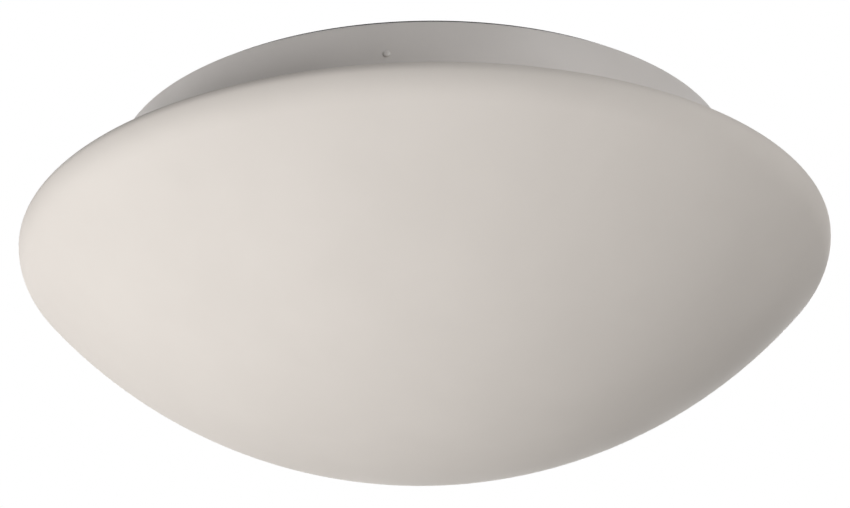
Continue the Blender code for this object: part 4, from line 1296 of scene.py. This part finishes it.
@dataclass
class Lampholder:
    """The porcelain lampholder on its folded bracket, with its brass shell and spring contact."""

    bracket_sheet: float = 0.0012
    bracket_bend: float = 0.002
    bracket_corner: float = 0.004
    bracket_edge: float = 0.00015
    entry_radius: float = 0.0062
    web: float = 0.0035
    hole_gap: float = 0.0003
    wall: float = 0.005
    back_radius: float = 0.015
    back_length: float = 0.004
    glaze_radius: float = 0.0015
    groove_depth: float = 0.0005
    groove_width: float = 0.002
    groove_inset: float = 0.006
    shell_root: float = 0.01225
    shell_crest: float = 0.01327
    shell_wall: float = 0.0005
    contact_sheet: float = 0.0004
    contact_width: float = 0.006
    contact_rise: float = 0.0032
    contact_foot: float = 0.0075
    contact_ramp: float = 0.0035
    contact_flat: float = 0.0025
    contact_tail: float = 0.00175
    contact_tail_fall: float = 0.0032 / 3
    contact_bend: float = 0.0008
    contact_seat: float = 0.0003

    def build(self) -> None:
        """Fold the bracket, turn the lampholder, roll its shell and bend its contact."""
        self.build_bracket()
        self.build_body()
        self.build_shell()
        self.build_contact()
        fit_screws(["bracket_screw_1", "bracket_screw_2"], M4)
        fit_screws(["holder_screw_1", "holder_screw_2"], M3, level=True)

    def build_bracket(self) -> None:
        """Fold the bracket, round its corners and pierce it."""
        low, high, _ = reach_of("lampholder_bracket")
        half = self.bracket_sheet / 2
        width = high.y - low.y
        line = rounded([
            (high.x, high.z - half, 0),
            (low.x + half, high.z - half, self.bracket_bend),
            (low.x + half, low.z, 0),
        ])
        outline = sheet_outline(line, half, -half)
        bracket = extruded("folded_bracket", outline, width, at((0, width / 2, 0)) @ UPRIGHT)
        edge_x = high.x - half
        edge_z = low.z + half

        def at_corner(first: Vector, second: Vector) -> bool:
            """Pick the short edges across the sheet at the bracket's four corners."""
            beside = abs(first.y - second.y) < JOIN_DISTANCE
            at_tab = min(first.x, second.x) > edge_x
            at_foot = max(first.z, second.z) < edge_z
            return beside and (at_tab or at_foot)

        round_edges(bracket, self.bracket_corner, at_corner)
        for node in ("bracket_screw_1", "bracket_screw_2"):
            middle = reach_of(node)[2]
            place = at((middle.x, middle.y, high.z - self.bracket_sheet - OVERRUN))
            combine(bracket, rod(M4.shank_radius + self.hole_gap, 3 * OVERRUN, place))
        centre = reach_of("lampholder_body")[2]
        start_x = low.x - OVERRUN
        combine(bracket, rod(self.entry_radius, 3 * OVERRUN, at((start_x, 0, centre.z)) @ ALONG_X))
        for node in ("holder_screw_1", "holder_screw_2"):
            middle = reach_of(node)[2]
            place = at((start_x, middle.y, middle.z)) @ ALONG_X
            combine(bracket, rod(M3.shank_radius + self.hole_gap, 3 * OVERRUN, place))
        soften(bracket, self.bracket_edge)
        dress(bracket, ZINC_STEEL, Body.BASE, "lampholder_bracket")

    def bore_floor(self) -> float:
        """Return the height of the bore's floor above the lampholder's back."""
        return CABLE_ENTRY_DEPTH + self.web

    def place(self) -> Matrix:
        """Return the lampholder's own frame, its Z axis along X from the back."""
        low, _, middle = reach_of("lampholder_body")
        return at((low.x, 0, middle.z)) @ ALONG_X

    def build_body(self) -> None:
        """Turn the porcelain body and pierce its back for the screws."""
        low, high, middle = reach_of("lampholder_body")
        radius = (high.z - low.z) / 2
        length = high.x - low.x
        bore = radius - self.wall
        glaze = self.glaze_radius
        bore_edge, entry_edge, groove_edge = glaze / 2, glaze / 3, glaze / 5
        floor = self.bore_floor()
        groove_end = length - self.groove_inset
        groove_start = groove_end - self.groove_width
        groove = radius - self.groove_depth
        outline = rounded([
            (0, floor, 0),
            (bore, floor, bore_edge),
            (bore, length, bore_edge),
            (radius, length, glaze),
            (radius, groove_end, groove_edge),
            (groove, groove_end - self.groove_depth, groove_edge),
            (groove, groove_start, groove_edge),
            (radius, groove_start - self.groove_depth, groove_edge),
            (radius, floor, 2 * glaze),
            (self.back_radius, self.back_length, glaze),
            (self.back_radius, 0, glaze),
            (self.entry_radius, 0, entry_edge),
            (self.entry_radius, CABLE_ENTRY_DEPTH, entry_edge),
            (0, CABLE_ENTRY_DEPTH, 0),
        ])
        body = turned("porcelain_body", outline, ROUND_STEPS, self.place())
        for node in ("holder_screw_1", "holder_screw_2"):
            _, screw_high, screw_middle = reach_of(node)
            place = at((low.x - OVERRUN, screw_middle.y, middle.z)) @ ALONG_X
            depth = screw_high.x - low.x + self.hole_gap + OVERRUN
            combine(body, rod(M3.shank_radius + self.hole_gap, depth, place))
        dress(body, PORCELAIN, Body.BASE, "lampholder_body")

    def build_shell(self) -> None:
        """Roll the brass shell's thread."""
        low, high, _ = reach_of("lampholder_shell")
        back = reach_of("lampholder_body")[0].x
        shell = threaded(
            "rolled_shell", self.shell_root, self.shell_crest, CAP_THREAD_PITCH,
            low.x - back, high.x - back, ROUND_STEPS, self.shell_wall,
        )
        shell.data.transform(self.place())
        dress(shell, BRASS, Body.BASE, "lampholder_shell")

    def build_contact(self) -> None:
        """Bend the spring contact at the bottom of the bore."""
        half = self.contact_sheet / 2
        foot = self.bore_floor() + self.contact_seat + half
        top = foot + self.contact_rise
        flat = self.contact_flat
        bend = self.contact_bend
        line = rounded([
            (-flat / 2 - self.contact_foot, foot, 0),
            (-flat / 2 - self.contact_ramp, foot, bend),
            (-flat / 2, top, bend),
            (flat, top, bend),
            (flat + self.contact_tail, top - self.contact_tail_fall, 0),
        ])
        outline = sheet_outline(line, half, -half)
        width = self.contact_width
        place = self.place() @ at((0, width / 2, 0)) @ UPRIGHT
        contact = extruded("spring_contact", outline, width, place)
        dress(contact, BRASS, Body.BASE, "lampholder_contact")


@dataclass
class Lamp:
    """The screw-in lamp: centre contact, glass insulator, threaded cap, housing and globe."""

    tip_rounding: float = 0.0009
    insulator_tip: float = 0.0058
    cap_back: float = 0.0112
    thread_root: float = 0.01213
    thread_crest: float = 0.01315
    core_radius: float = 0.0120
    cone_length: float = 0.0018
    skirt_length: float = 0.0042
    cap_edge: float = 0.0005
    neck_radius: float = 0.0142
    collar: float = 0.003
    top_inset: float = 0.0006
    globe_radius: float = 0.030
    seam: float = 0.0004

    def build(self) -> None:
        """Turn the lamp's five pieces along X."""
        axis_z = reach_of("lamp_globe")[2].z
        place = at((0, 0, axis_z)) @ ALONG_X
        self.build_tip(place)
        self.build_cap(place)
        self.build_housing(place)
        self.build_globe(place)

    def build_tip(self, place: Matrix) -> None:
        """Turn the soldered centre contact and the black glass round it.

        Args:
            place: the lamp's own frame.
        """
        low, high, middle = reach_of("lamp_contact")
        radius = (high.z - low.z) / 2
        soft = self.tip_rounding
        edge = soft / 3
        outline = rounded([
            (0, high.x, 0),
            (radius, high.x, edge),
            (radius, middle.x, soft / 2),
            (radius / 2, low.x, soft),
            (0, low.x, 0),
        ])
        contact = turned("centre_contact", outline, SMALL_STEPS, place)
        dress(contact, NICKEL, Body.LAMP_TIP, "lamp_contact")

        low, high, _ = reach_of("lamp_insulator")
        outline = rounded([
            (0, high.x, 0),
            (self.cap_back, high.x, edge),
            (self.insulator_tip, low.x, soft),
            (0, low.x, 0),
        ])
        insulator = turned("glass_insulator", outline, SMALL_STEPS, place)
        dress(insulator, BLACK_GLASS, Body.LAMP_TIP, "lamp_insulator")

    def build_cap(self, place: Matrix) -> None:
        """Turn the cap's core and skirt, and roll its thread in step with the lampholder's.

        Args:
            place: the lamp's own frame.
        """
        low, high, _ = reach_of("lamp_cap")
        radius = (high.z - low.z) / 2
        back = reach_of("lampholder_body")[0].x
        skirt = high.x - self.skirt_length
        soft = self.cap_edge
        core = turned(
            "cap_core",
            rounded([
                (0, high.x - back, 0),
                (radius, high.x - back, soft),
                (radius, skirt - back, soft),
                (self.core_radius, skirt - back - soft, 0),
                (self.core_radius, low.x + self.cone_length - back, soft / 2),
                (self.cap_back, low.x - back, soft / 2),
                (0, low.x - back, 0),
            ]),
            ROUND_STEPS,
        )
        cap = threaded(
            "threaded_cap", self.thread_root, self.thread_crest, CAP_THREAD_PITCH,
            low.x + self.cone_length - back, skirt - back, ROUND_STEPS,
        )
        combine(cap, core, Change.JOIN)
        cap.data.transform(at((back, 0, place.translation.z)) @ ALONG_X)
        dress(cap, NICKEL, Body.LAMP, "lamp_cap")

    def build_housing(self, place: Matrix) -> None:
        """Turn the flared housing with its collar and the seam below the globe.

        Args:
            place: the lamp's own frame.
        """
        low, high, _ = reach_of("lamp_housing")
        top = self.globe_radius - self.top_inset
        flare = high.x - low.x - self.collar
        spread = top - self.neck_radius
        steps = 4 * BEND_STEPS
        side = []
        for step in range(steps + 1):
            share = 1 - step / steps
            radius = self.neck_radius + spread * math.sin(share * QUARTER_TURN)
            side.append((radius, low.x + self.collar + flare * share))
        outline = [
            (0, high.x),
            (top - self.seam, high.x),
            (top, high.x - self.seam),
            *side[1:-1],
            *rounded([
                (self.neck_radius, low.x + self.collar, 0),
                (self.neck_radius, low.x, self.seam),
                (0, low.x, 0),
            ], steps=SOFT_EDGE_STEPS),
        ]
        housing = turned("flared_housing", outline, ROUND_STEPS, place)
        dress(housing, LAMP_WHITE, Body.LAMP, "lamp_housing")

    def build_globe(self, place: Matrix) -> None:
        """Turn the diffusing globe.

        Args:
            place: the lamp's own frame.
        """
        low, high, _ = reach_of("lamp_globe")
        equator = high.x - self.globe_radius
        top = self.globe_radius - self.top_inset
        outline = [
            *arc((0, equator), self.globe_radius, 90, 0, 5 * BEND_STEPS),
            (top, low.x + self.seam),
            (top - self.seam, low.x),
            (0, low.x),
        ]
        globe = turned("diffusing_globe", outline, ROUND_STEPS, place)
        dress(globe, LAMP_GLOBE, Body.LAMP, "lamp_globe")


@dataclass
class TerminalBlock:
    """The three-pole terminal block with its brass barrels and slotted clamping screws."""

    length: float = 0.017
    pitch: float = 0.0086
    poles: int = 3
    height: float = 0.014
    base: float = 0.003
    tower_radius: float = 0.0036
    tower_rounding: float = 0.0033
    base_rounding: float = 0.0008
    foot_rounding: float = 0.0003
    bore_radius: float = 0.0024
    screw_radius: float = 0.0015
    screw_gap: float = 0.0003
    notch_width: float = 0.0022
    notch_depth: float = 0.0024
    edge: float = 0.00025
    barrel_bore: float = 0.0016
    barrel_edge: float = 0.00015
    slot_width: float = 0.0006
    slot_depth: float = 0.0008
    screw_edge: float = 0.00025
    first_turn: float = math.radians(25)
    turn_step: float = math.radians(40)

    def build(self) -> None:
        """Mould the block and fit its barrels and screws."""
        self.build_block()
        self.build_barrels()
        self.build_clamp_screws()
        fit_screws(["terminal_fixing_screw_1", "terminal_fixing_screw_2"], M3)

    def pole_nodes(self) -> list[str]:
        """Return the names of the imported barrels."""
        return [f"terminal_barrel_{pole}" for pole in range(1, self.poles + 1)]

    def screw_nodes(self) -> list[str]:
        """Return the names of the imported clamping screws."""
        return [f"terminal_screw_{pole}{end}" for pole in range(1, self.poles + 1) for end in "ab"]

    def build_block(self) -> None:
        """Mould the block across its towers, and bore and notch it."""
        low, high, middle = reach_of("terminal_block")
        reach = (high.y - low.y) / 2
        corners = [(-reach, 0, self.foot_rounding), (-reach, -self.base, self.base_rounding)]
        for pole in range(self.poles):
            y = (pole - (self.poles - 1) / 2) * self.pitch
            corners.extend([
                (y - self.tower_radius, -self.base, self.foot_rounding),
                (y - self.tower_radius, -self.height, self.tower_rounding),
                (y + self.tower_radius, -self.height, self.tower_rounding),
                (y + self.tower_radius, -self.base, self.foot_rounding),
            ])
        corners.extend([(reach, -self.base, self.base_rounding), (reach, 0, self.foot_rounding)])
        across = Matrix.Rotation(QUARTER_TURN, 4, "Z")
        place = at((-self.length / 2, middle.y, high.z)) @ across @ UPRIGHT
        moulding = extruded("moulded_block", rounded(corners, closed=True), self.length, place)
        notch = Vector((self.notch_width, self.pitch * self.poles, 2 * self.notch_depth))
        combine(moulding, block(notch, at((0, middle.y, low.z))))
        for node in self.pole_nodes():
            barrel = reach_of(node)[2]
            start = at((-self.length / 2 - OVERRUN, barrel.y, barrel.z)) @ ALONG_X
            combine(moulding, rod(self.bore_radius, self.length + 2 * OVERRUN, start))
        depth = reach_of(self.pole_nodes()[0])[2].z - low.z + OVERRUN
        for node in self.screw_nodes():
            screw = reach_of(node)[2]
            start = at((screw.x, screw.y, low.z - OVERRUN))
            combine(moulding, rod(self.screw_radius + self.screw_gap, depth, start))
        for node in ("terminal_fixing_screw_1", "terminal_fixing_screw_2"):
            ear = reach_of(node)[2]
            start = at((ear.x, ear.y, high.z - self.base - OVERRUN))
            combine(moulding, rod(M3.shank_radius + self.screw_gap, self.base + 2 * OVERRUN, start))
        soften(moulding, self.edge)
        dress(moulding, POLYAMIDE, Body.BASE, "terminal_block")

    def build_barrels(self) -> None:
        """Turn one barrel, pierce it for its screws and copy it to each pole."""
        low, high, _ = reach_of(self.pole_nodes()[0])
        radius = (high.z - low.z) / 2
        length = high.x - low.x
        soft = self.barrel_edge
        bore = self.barrel_bore
        ring = rounded(
            [(bore, length, soft), (radius, length, soft), (radius, 0, soft), (bore, 0, soft)],
            closed=True, steps=EDGE_STEPS,
        )
        barrel = turned("barrel", ring, SMALL_STEPS, at((low.x, 0, 0)) @ ALONG_X, closed=True)
        for node in self.screw_nodes()[:2]:
            place = at((reach_of(node)[2].x, 0, -radius - OVERRUN))
            combine(barrel, rod(self.screw_radius - self.screw_gap, radius + OVERRUN, place))
        middles = [reach_of(node)[2] for node in self.pole_nodes()]
        names = [f"brass_barrel_{pole}" for pole in range(1, self.poles + 1)]
        places = [at((0, middle.y, middle.z)) for middle in middles]
        for node, piece in zip(self.pole_nodes(), copies(barrel, names, places)):
            dress(piece, BRASS, Body.BASE, node)

    def build_clamp_screws(self) -> None:
        """Turn one slotted clamping screw and copy it to every hole."""
        low, high, _ = reach_of(self.screw_nodes()[0])
        length = high.z - low.z
        soft = self.screw_edge
        outline = rounded([
            (0, length, 0),
            (self.screw_radius, length, soft),
            (self.screw_radius, 0, soft),
            (0, 0, 0),
        ], steps=EDGE_STEPS)
        screw = turned("clamp_screw", outline, FINE_STEPS)
        slot = Vector((4 * self.screw_radius, self.slot_width, 2 * self.slot_depth))
        combine(screw, block(slot, Matrix()))
        nodes = self.screw_nodes()
        places = []
        for index, node in enumerate(nodes):
            bottom, _, middle = reach_of(node)
            turn = Matrix.Rotation(self.first_turn + index * self.turn_step, 4, "Z")
            places.append(at((middle.x, middle.y, bottom.z)) @ turn)
        names = [node.replace("terminal", "clamp") for node in nodes]
        for node, piece in zip(nodes, copies(screw, names, places)):
            dress(piece, ZINC_STEEL, Body.BASE, node)


@dataclass
class EarthPoint:
    """The earth lead's ring terminal, held to the pan by a washer and a screw."""

    ring_radius: float = 0.004
    sheet: float = 0.0008
    tail_width: float = 0.0034
    hole_gap: float = 0.0004
    washer_rounding: float = 0.0002
    crimp_wall: float = 0.0004
    crimp_gap: float = 0.00005
    crimp_edge: float = 0.0001
    crimp_length: float = 0.005

    def build(self) -> None:
        """Make the ring terminal and fit its washer and screw."""
        self.build_terminal()
        self.build_washer()
        fit_screws(["earth_screw"], M4)

    def build_terminal(self) -> None:
        """Stamp the ring terminal and crimp its tail round the lead."""
        low, high, _ = reach_of("earth_ring_terminal")
        centre = reach_of("earth_washer")[2]
        half = self.tail_width / 2
        start = math.degrees(math.asin(half / self.ring_radius))
        outline = arc((0, 0), self.ring_radius, start, 360 - start, SMALL_STEPS)
        tail = high.x - centre.x
        outline.extend([(tail, -half), (tail, half)])
        terminal = extruded("ring_terminal", outline, self.sheet, at((centre.x, centre.y, low.z)))
        place = at((centre.x, centre.y, low.z - OVERRUN))
        combine(terminal, rod(M4.shank_radius + self.hole_gap, 2 * OVERRUN, place))
        length = self.crimp_length
        inner = LEAD_RADIUS + self.crimp_gap
        outer = LEAD_RADIUS + self.crimp_wall
        soft = self.crimp_edge
        ring = rounded(
            [(inner, length, 0), (outer, length, soft), (outer, 0, soft), (inner, 0, 0)],
            closed=True, steps=EDGE_STEPS,
        )
        place = at((high.x - length, centre.y, earth_lead_z())) @ ALONG_X
        crimp = turned("crimp", ring, FINE_STEPS, place, closed=True)
        combine(terminal, crimp, Change.JOIN)
        dress(terminal, NICKEL, Body.BASE, "earth_ring_terminal")

    def build_washer(self) -> None:
        """Turn the plain washer between the screw's head and the ring terminal."""
        low, high, middle = reach_of("earth_washer")
        radius = (high.x - low.x) / 2
        inner = M4.shank_radius + self.hole_gap
        soft = self.washer_rounding
        top, bottom = high.z, low.z
        ring = rounded(
            [(inner, top, soft), (radius, top, soft), (radius, bottom, soft), (inner, bottom, soft)],
            closed=True, steps=EDGE_STEPS,
        )
        place = at((middle.x, middle.y, 0))
        washer = turned("plain_washer", ring, SMALL_STEPS, place, closed=True)
        dress(washer, ZINC_STEEL, Body.BASE, "earth_washer")


def earth_lead_z() -> float:
    """Return the height of the earth lead's centre where it ends under the ring terminal."""
    return reach_of("lead_earth")[1].z - LEAD_RADIUS


@dataclass
class Leads:
    """The insulated leads from the terminal block to the lampholder's back and to the earth point."""

    straight: float = 0.004
    reach_in: float = 0.003
    spread_at_holder: float = 0.0022
    bracket_clearance: float = 0.004
    middle_y_share: float = 0.72
    turn_x_share: float = 0.94
    turn_y_share: float = 0.40
    turn_z_share: float = 0.42
    drop_z_share: float = 0.80
    stripe_tilt: float = 0.45

    def build(self) -> None:
        """Run the three leads."""
        earth, neutral, live = (reach_of(f"terminal_barrel_{pole}")[2] for pole in (1, 2, 3))
        self.run_to_holder("brown_lead", "lead_live", LEAD_BROWN, live, 1)
        self.run_to_holder("blue_lead", "lead_neutral", LEAD_BLUE, neutral, -1)
        self.run_to_earth(earth)

    def run_to_holder(self, name: str, node: str, finish: Finish, pole: Vector, side: int) -> None:
        """Run a lead from its pole round the bracket and into the lampholder's back.

        Args:
            name: the lead's name.
            node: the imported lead.
            finish: its insulation.
            pole: the middle of its barrel.
            side: which side of its neighbour it lies on, 1 or -1.
        """
        block_low, _, block_middle = reach_of("terminal_block")
        bracket_x = reach_of("lampholder_bracket")[0].x
        holder_low, _, holder_middle = reach_of("lampholder_body")
        face_x = block_low.x
        outer_x = bracket_x - self.bracket_clearance
        lamp_z = holder_middle.z
        spread = side * self.spread_at_holder
        step = self.straight
        corners = [
            (face_x + self.reach_in, pole.y, pole.z),
            (face_x - step, pole.y, pole.z),
            (face_x - 3 * step, pole.y - step, pole.z + spread),
            (bracket_x / 2, block_middle.y * self.middle_y_share + 2 * spread, pole.z),
            (
                outer_x * self.turn_x_share,
                block_middle.y * self.turn_y_share + spread,
                lamp_z * self.turn_z_share,
            ),
            (outer_x - self.bracket_clearance / 2, step + spread, lamp_z * self.drop_z_share),
            (outer_x, spread, lamp_z),
            (bracket_x, spread, lamp_z),
            (holder_low.x + CABLE_ENTRY_DEPTH / 2, spread, lamp_z),
        ]
        lead = tube(name, [Vector(corner) for corner in corners], LEAD_RADIUS)
        dress(lead, finish, Body.BASE, node)

    def run_to_earth(self, pole: Vector) -> None:
        """Run the earth lead from its pole to the ring terminal, with its yellow stripe.

        Args:
            pole: the middle of its barrel.
        """
        face_x = reach_of("terminal_block")[0].x
        ring = reach_of("earth_washer")[2]
        step = self.straight
        end_x = reach_of("earth_ring_terminal")[1].x - step / 2
        end = Vector((end_x, ring.y, earth_lead_z()))
        corners = [
            Vector((face_x + self.reach_in, pole.y, pole.z)),
            Vector((face_x - step, pole.y, pole.z)),
            Vector((face_x - 3 * step, (pole.y * 2 + ring.y) / 3, (pole.z + end.z) / 2)),
            Vector((end.x + 2 * step, end.y, end.z)),
            end,
        ]
        lead = tube("green_yellow_lead", corners, LEAD_RADIUS)
        lead.data.materials.append(LEAD_GREEN.material())
        lead.data.materials.append(LEAD_YELLOW.material())
        for face in lead.data.polygons:
            face.material_index = int(abs(face.normal.z) < self.stripe_tilt)
        dress(lead, LEAD_GREEN, Body.BASE, "lead_earth")


# Studio


@dataclass(frozen=True)
class SoftLight:
    """A square soft light that points at the ceiling light, placed by the direction it comes from."""

    name: str
    azimuth: float
    elevation: float
    power: float
    distance: float = 2.2
    width: float = 1.2

    def build(self) -> None:
        """Hang the light and aim it at the middle of the shade."""
        lamp = bpy.data.lights.new(self.name, "AREA")
        lamp.shape = "SQUARE"
        lamp.size = self.width
        lamp.energy = self.power
        holder = bpy.data.objects.new(self.name, lamp)
        bpy.context.scene.collection.objects.link(holder)
        turn = Matrix.Rotation(math.radians(self.azimuth), 4, "Z")
        tilt = Matrix.Rotation(-math.radians(self.elevation), 4, "Y")
        place = at(reach_of("glass_shade")[2]) @ turn @ tilt @ Vector((self.distance, 0, 0))
        aim = (reach_of("glass_shade")[2] - place).to_track_quat("-Z", "Y")
        holder.matrix_world = at(place) @ aim.to_matrix().to_4x4()


@dataclass
class Studio:
    """The room's floor, the soft lights, the white surroundings and the camera."""

    floor_drop: float = 3.2
    floor_size: float = 120.0
    floor_colour: str = "F2F1EF"
    floor_roughness: float = 0.9
    floor_glow: float = 0.8
    ambient: float = 0.10
    camera_distance: float = 1.2262
    camera_elevation: float = math.radians(26.123)
    camera_pitch: float = -0.02683
    camera_roll: float = -0.01833
    camera_target_z: float = -0.0018
    camera_lens: float = 137.87
    camera_sensor: float = 36.0
    lights: tuple[SoftLight, ...] = (
        SoftLight("key light", azimuth=200, elevation=-35, power=32.2),
        SoftLight("left light", azimuth=180, elevation=-20, power=4.8),
        SoftLight("front light", azimuth=275, elevation=-15, power=1.2),
        SoftLight("high right light", azimuth=315, elevation=20, power=12.0),
        SoftLight("low right light", azimuth=315, elevation=-15, power=8.5),
        SoftLight("back light", azimuth=80, elevation=20, power=24.0),
        SoftLight("floor light", azimuth=300, elevation=-70, power=2.6),
    )

    def build(self) -> None:
        """Lay the floor, light the room and set up the camera."""
        self.build_floor()
        self.build_world()
        for light in self.lights:
            light.build()
        self.build_camera()
        bpy.context.scene.view_settings.view_transform = "Standard"

    def build_floor(self) -> None:
        """Lay a pale floor more than a room's height below, that fills the views from above."""
        bpy.ops.object.select_all(action="DESELECT")
        bpy.ops.mesh.primitive_plane_add(size=self.floor_size, location=(0, 0, -self.floor_drop))
        floor = bpy.context.object
        floor.name = "floor"
        material = bpy.data.materials.new("pale floor")
        material.use_nodes = True
        tree = material.node_tree
        shader = tree.nodes["Principled BSDF"]
        shader.inputs["Base Color"].default_value = linear(self.floor_colour)
        shader.inputs["Emission Color"].default_value = linear(self.floor_colour)
        shader.inputs["Roughness"].default_value = self.floor_roughness
        glow = add_node(
            tree, "ShaderNodeMath",
            {0: self.shown_directly(tree), 1: self.floor_glow}, operation="MULTIPLY",
        )
        tree.links.new(glow.outputs[0], shader.inputs["Emission Strength"])
        floor.data.materials.append(material)
        floor.select_set(False)

    @staticmethod
    def shown_directly(tree: bpy.types.NodeTree) -> bpy.types.NodeSocket:
        """Tell what the camera, a reflection or a view through glass meets from what only gets light.

        Args:
            tree: the node tree that asks.

        Returns:
            1 for a ray that shows the surface, 0 for one that lights another.
        """
        path = add_node(tree, "ShaderNodeLightPath")
        seen = add_node(
            tree, "ShaderNodeMath",
            {0: path.outputs["Is Camera Ray"], 1: path.outputs["Is Glossy Ray"]}, operation="MAXIMUM",
        )
        seen_through = add_node(
            tree, "ShaderNodeMath",
            {0: seen.outputs[0], 1: path.outputs["Is Transmission Ray"]}, operation="MAXIMUM",
        )
        return seen_through.outputs[0]

    def build_world(self) -> None:
        """Light softly from all round, and show the camera and the reflections plain white."""
        world = bpy.data.worlds.new("white surroundings")
        bpy.context.scene.world = world
        world.use_nodes = True
        tree = world.node_tree
        tree.nodes.clear()
        white = (1.0, 1.0, 1.0, 1.0)
        soft = add_node(tree, "ShaderNodeBackground", {"Color": white, "Strength": self.ambient})
        shown = add_node(tree, "ShaderNodeBackground", {"Color": white, "Strength": 1.0})
        mixed = add_node(
            tree, "ShaderNodeMixShader",
            {0: self.shown_directly(tree), 1: soft.outputs[0], 2: shown.outputs[0]},
        )
        add_node(tree, "ShaderNodeOutputWorld", {"Surface": mixed.outputs[0]})

    def build_camera(self) -> None:
        """Set the camera below and in front of the light, looking up at it."""
        scene = bpy.context.scene
        elevation = self.camera_elevation
        ahead = Vector((0, math.cos(elevation), math.sin(elevation)))
        right = Vector((1, 0, 0))
        place = -self.camera_distance * ahead + Vector((0, 0, self.camera_target_z))
        pitch = Matrix.Rotation(self.camera_pitch, 3, right)
        ahead = pitch @ ahead
        up = right.cross(ahead)
        roll = Matrix.Rotation(-self.camera_roll, 3, ahead)
        right = roll @ right
        up = roll @ up
        turn = Matrix((right, up, -ahead)).transposed()
        lens = bpy.data.cameras.new("camera")
        lens.lens = self.camera_lens
        lens.sensor_width = self.camera_sensor
        camera = bpy.data.objects.new("camera", lens)
        scene.collection.objects.link(camera)
        camera.matrix_world = at(place) @ turn.to_4x4()
        scene.camera = camera


def main() -> None:
    """Load the frame, dress the ceiling light in it and light the scene."""
    logging.basicConfig(level=logging.INFO, format="%(name)s: %(message)s")
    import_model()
    bpy.ops.object.select_all(action="DESELECT")
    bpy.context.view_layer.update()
    Studio().build()
    assemblies = (
        Pan(), SpringClips(), Shade(), Lampholder(), Lamp(), TerminalBlock(), EarthPoint(), Leads(),
    )
    for assembly in assemblies:
        log.info("building %s", type(assembly).__name__)
        assembly.build()


if __name__ == "__main__":
    main()
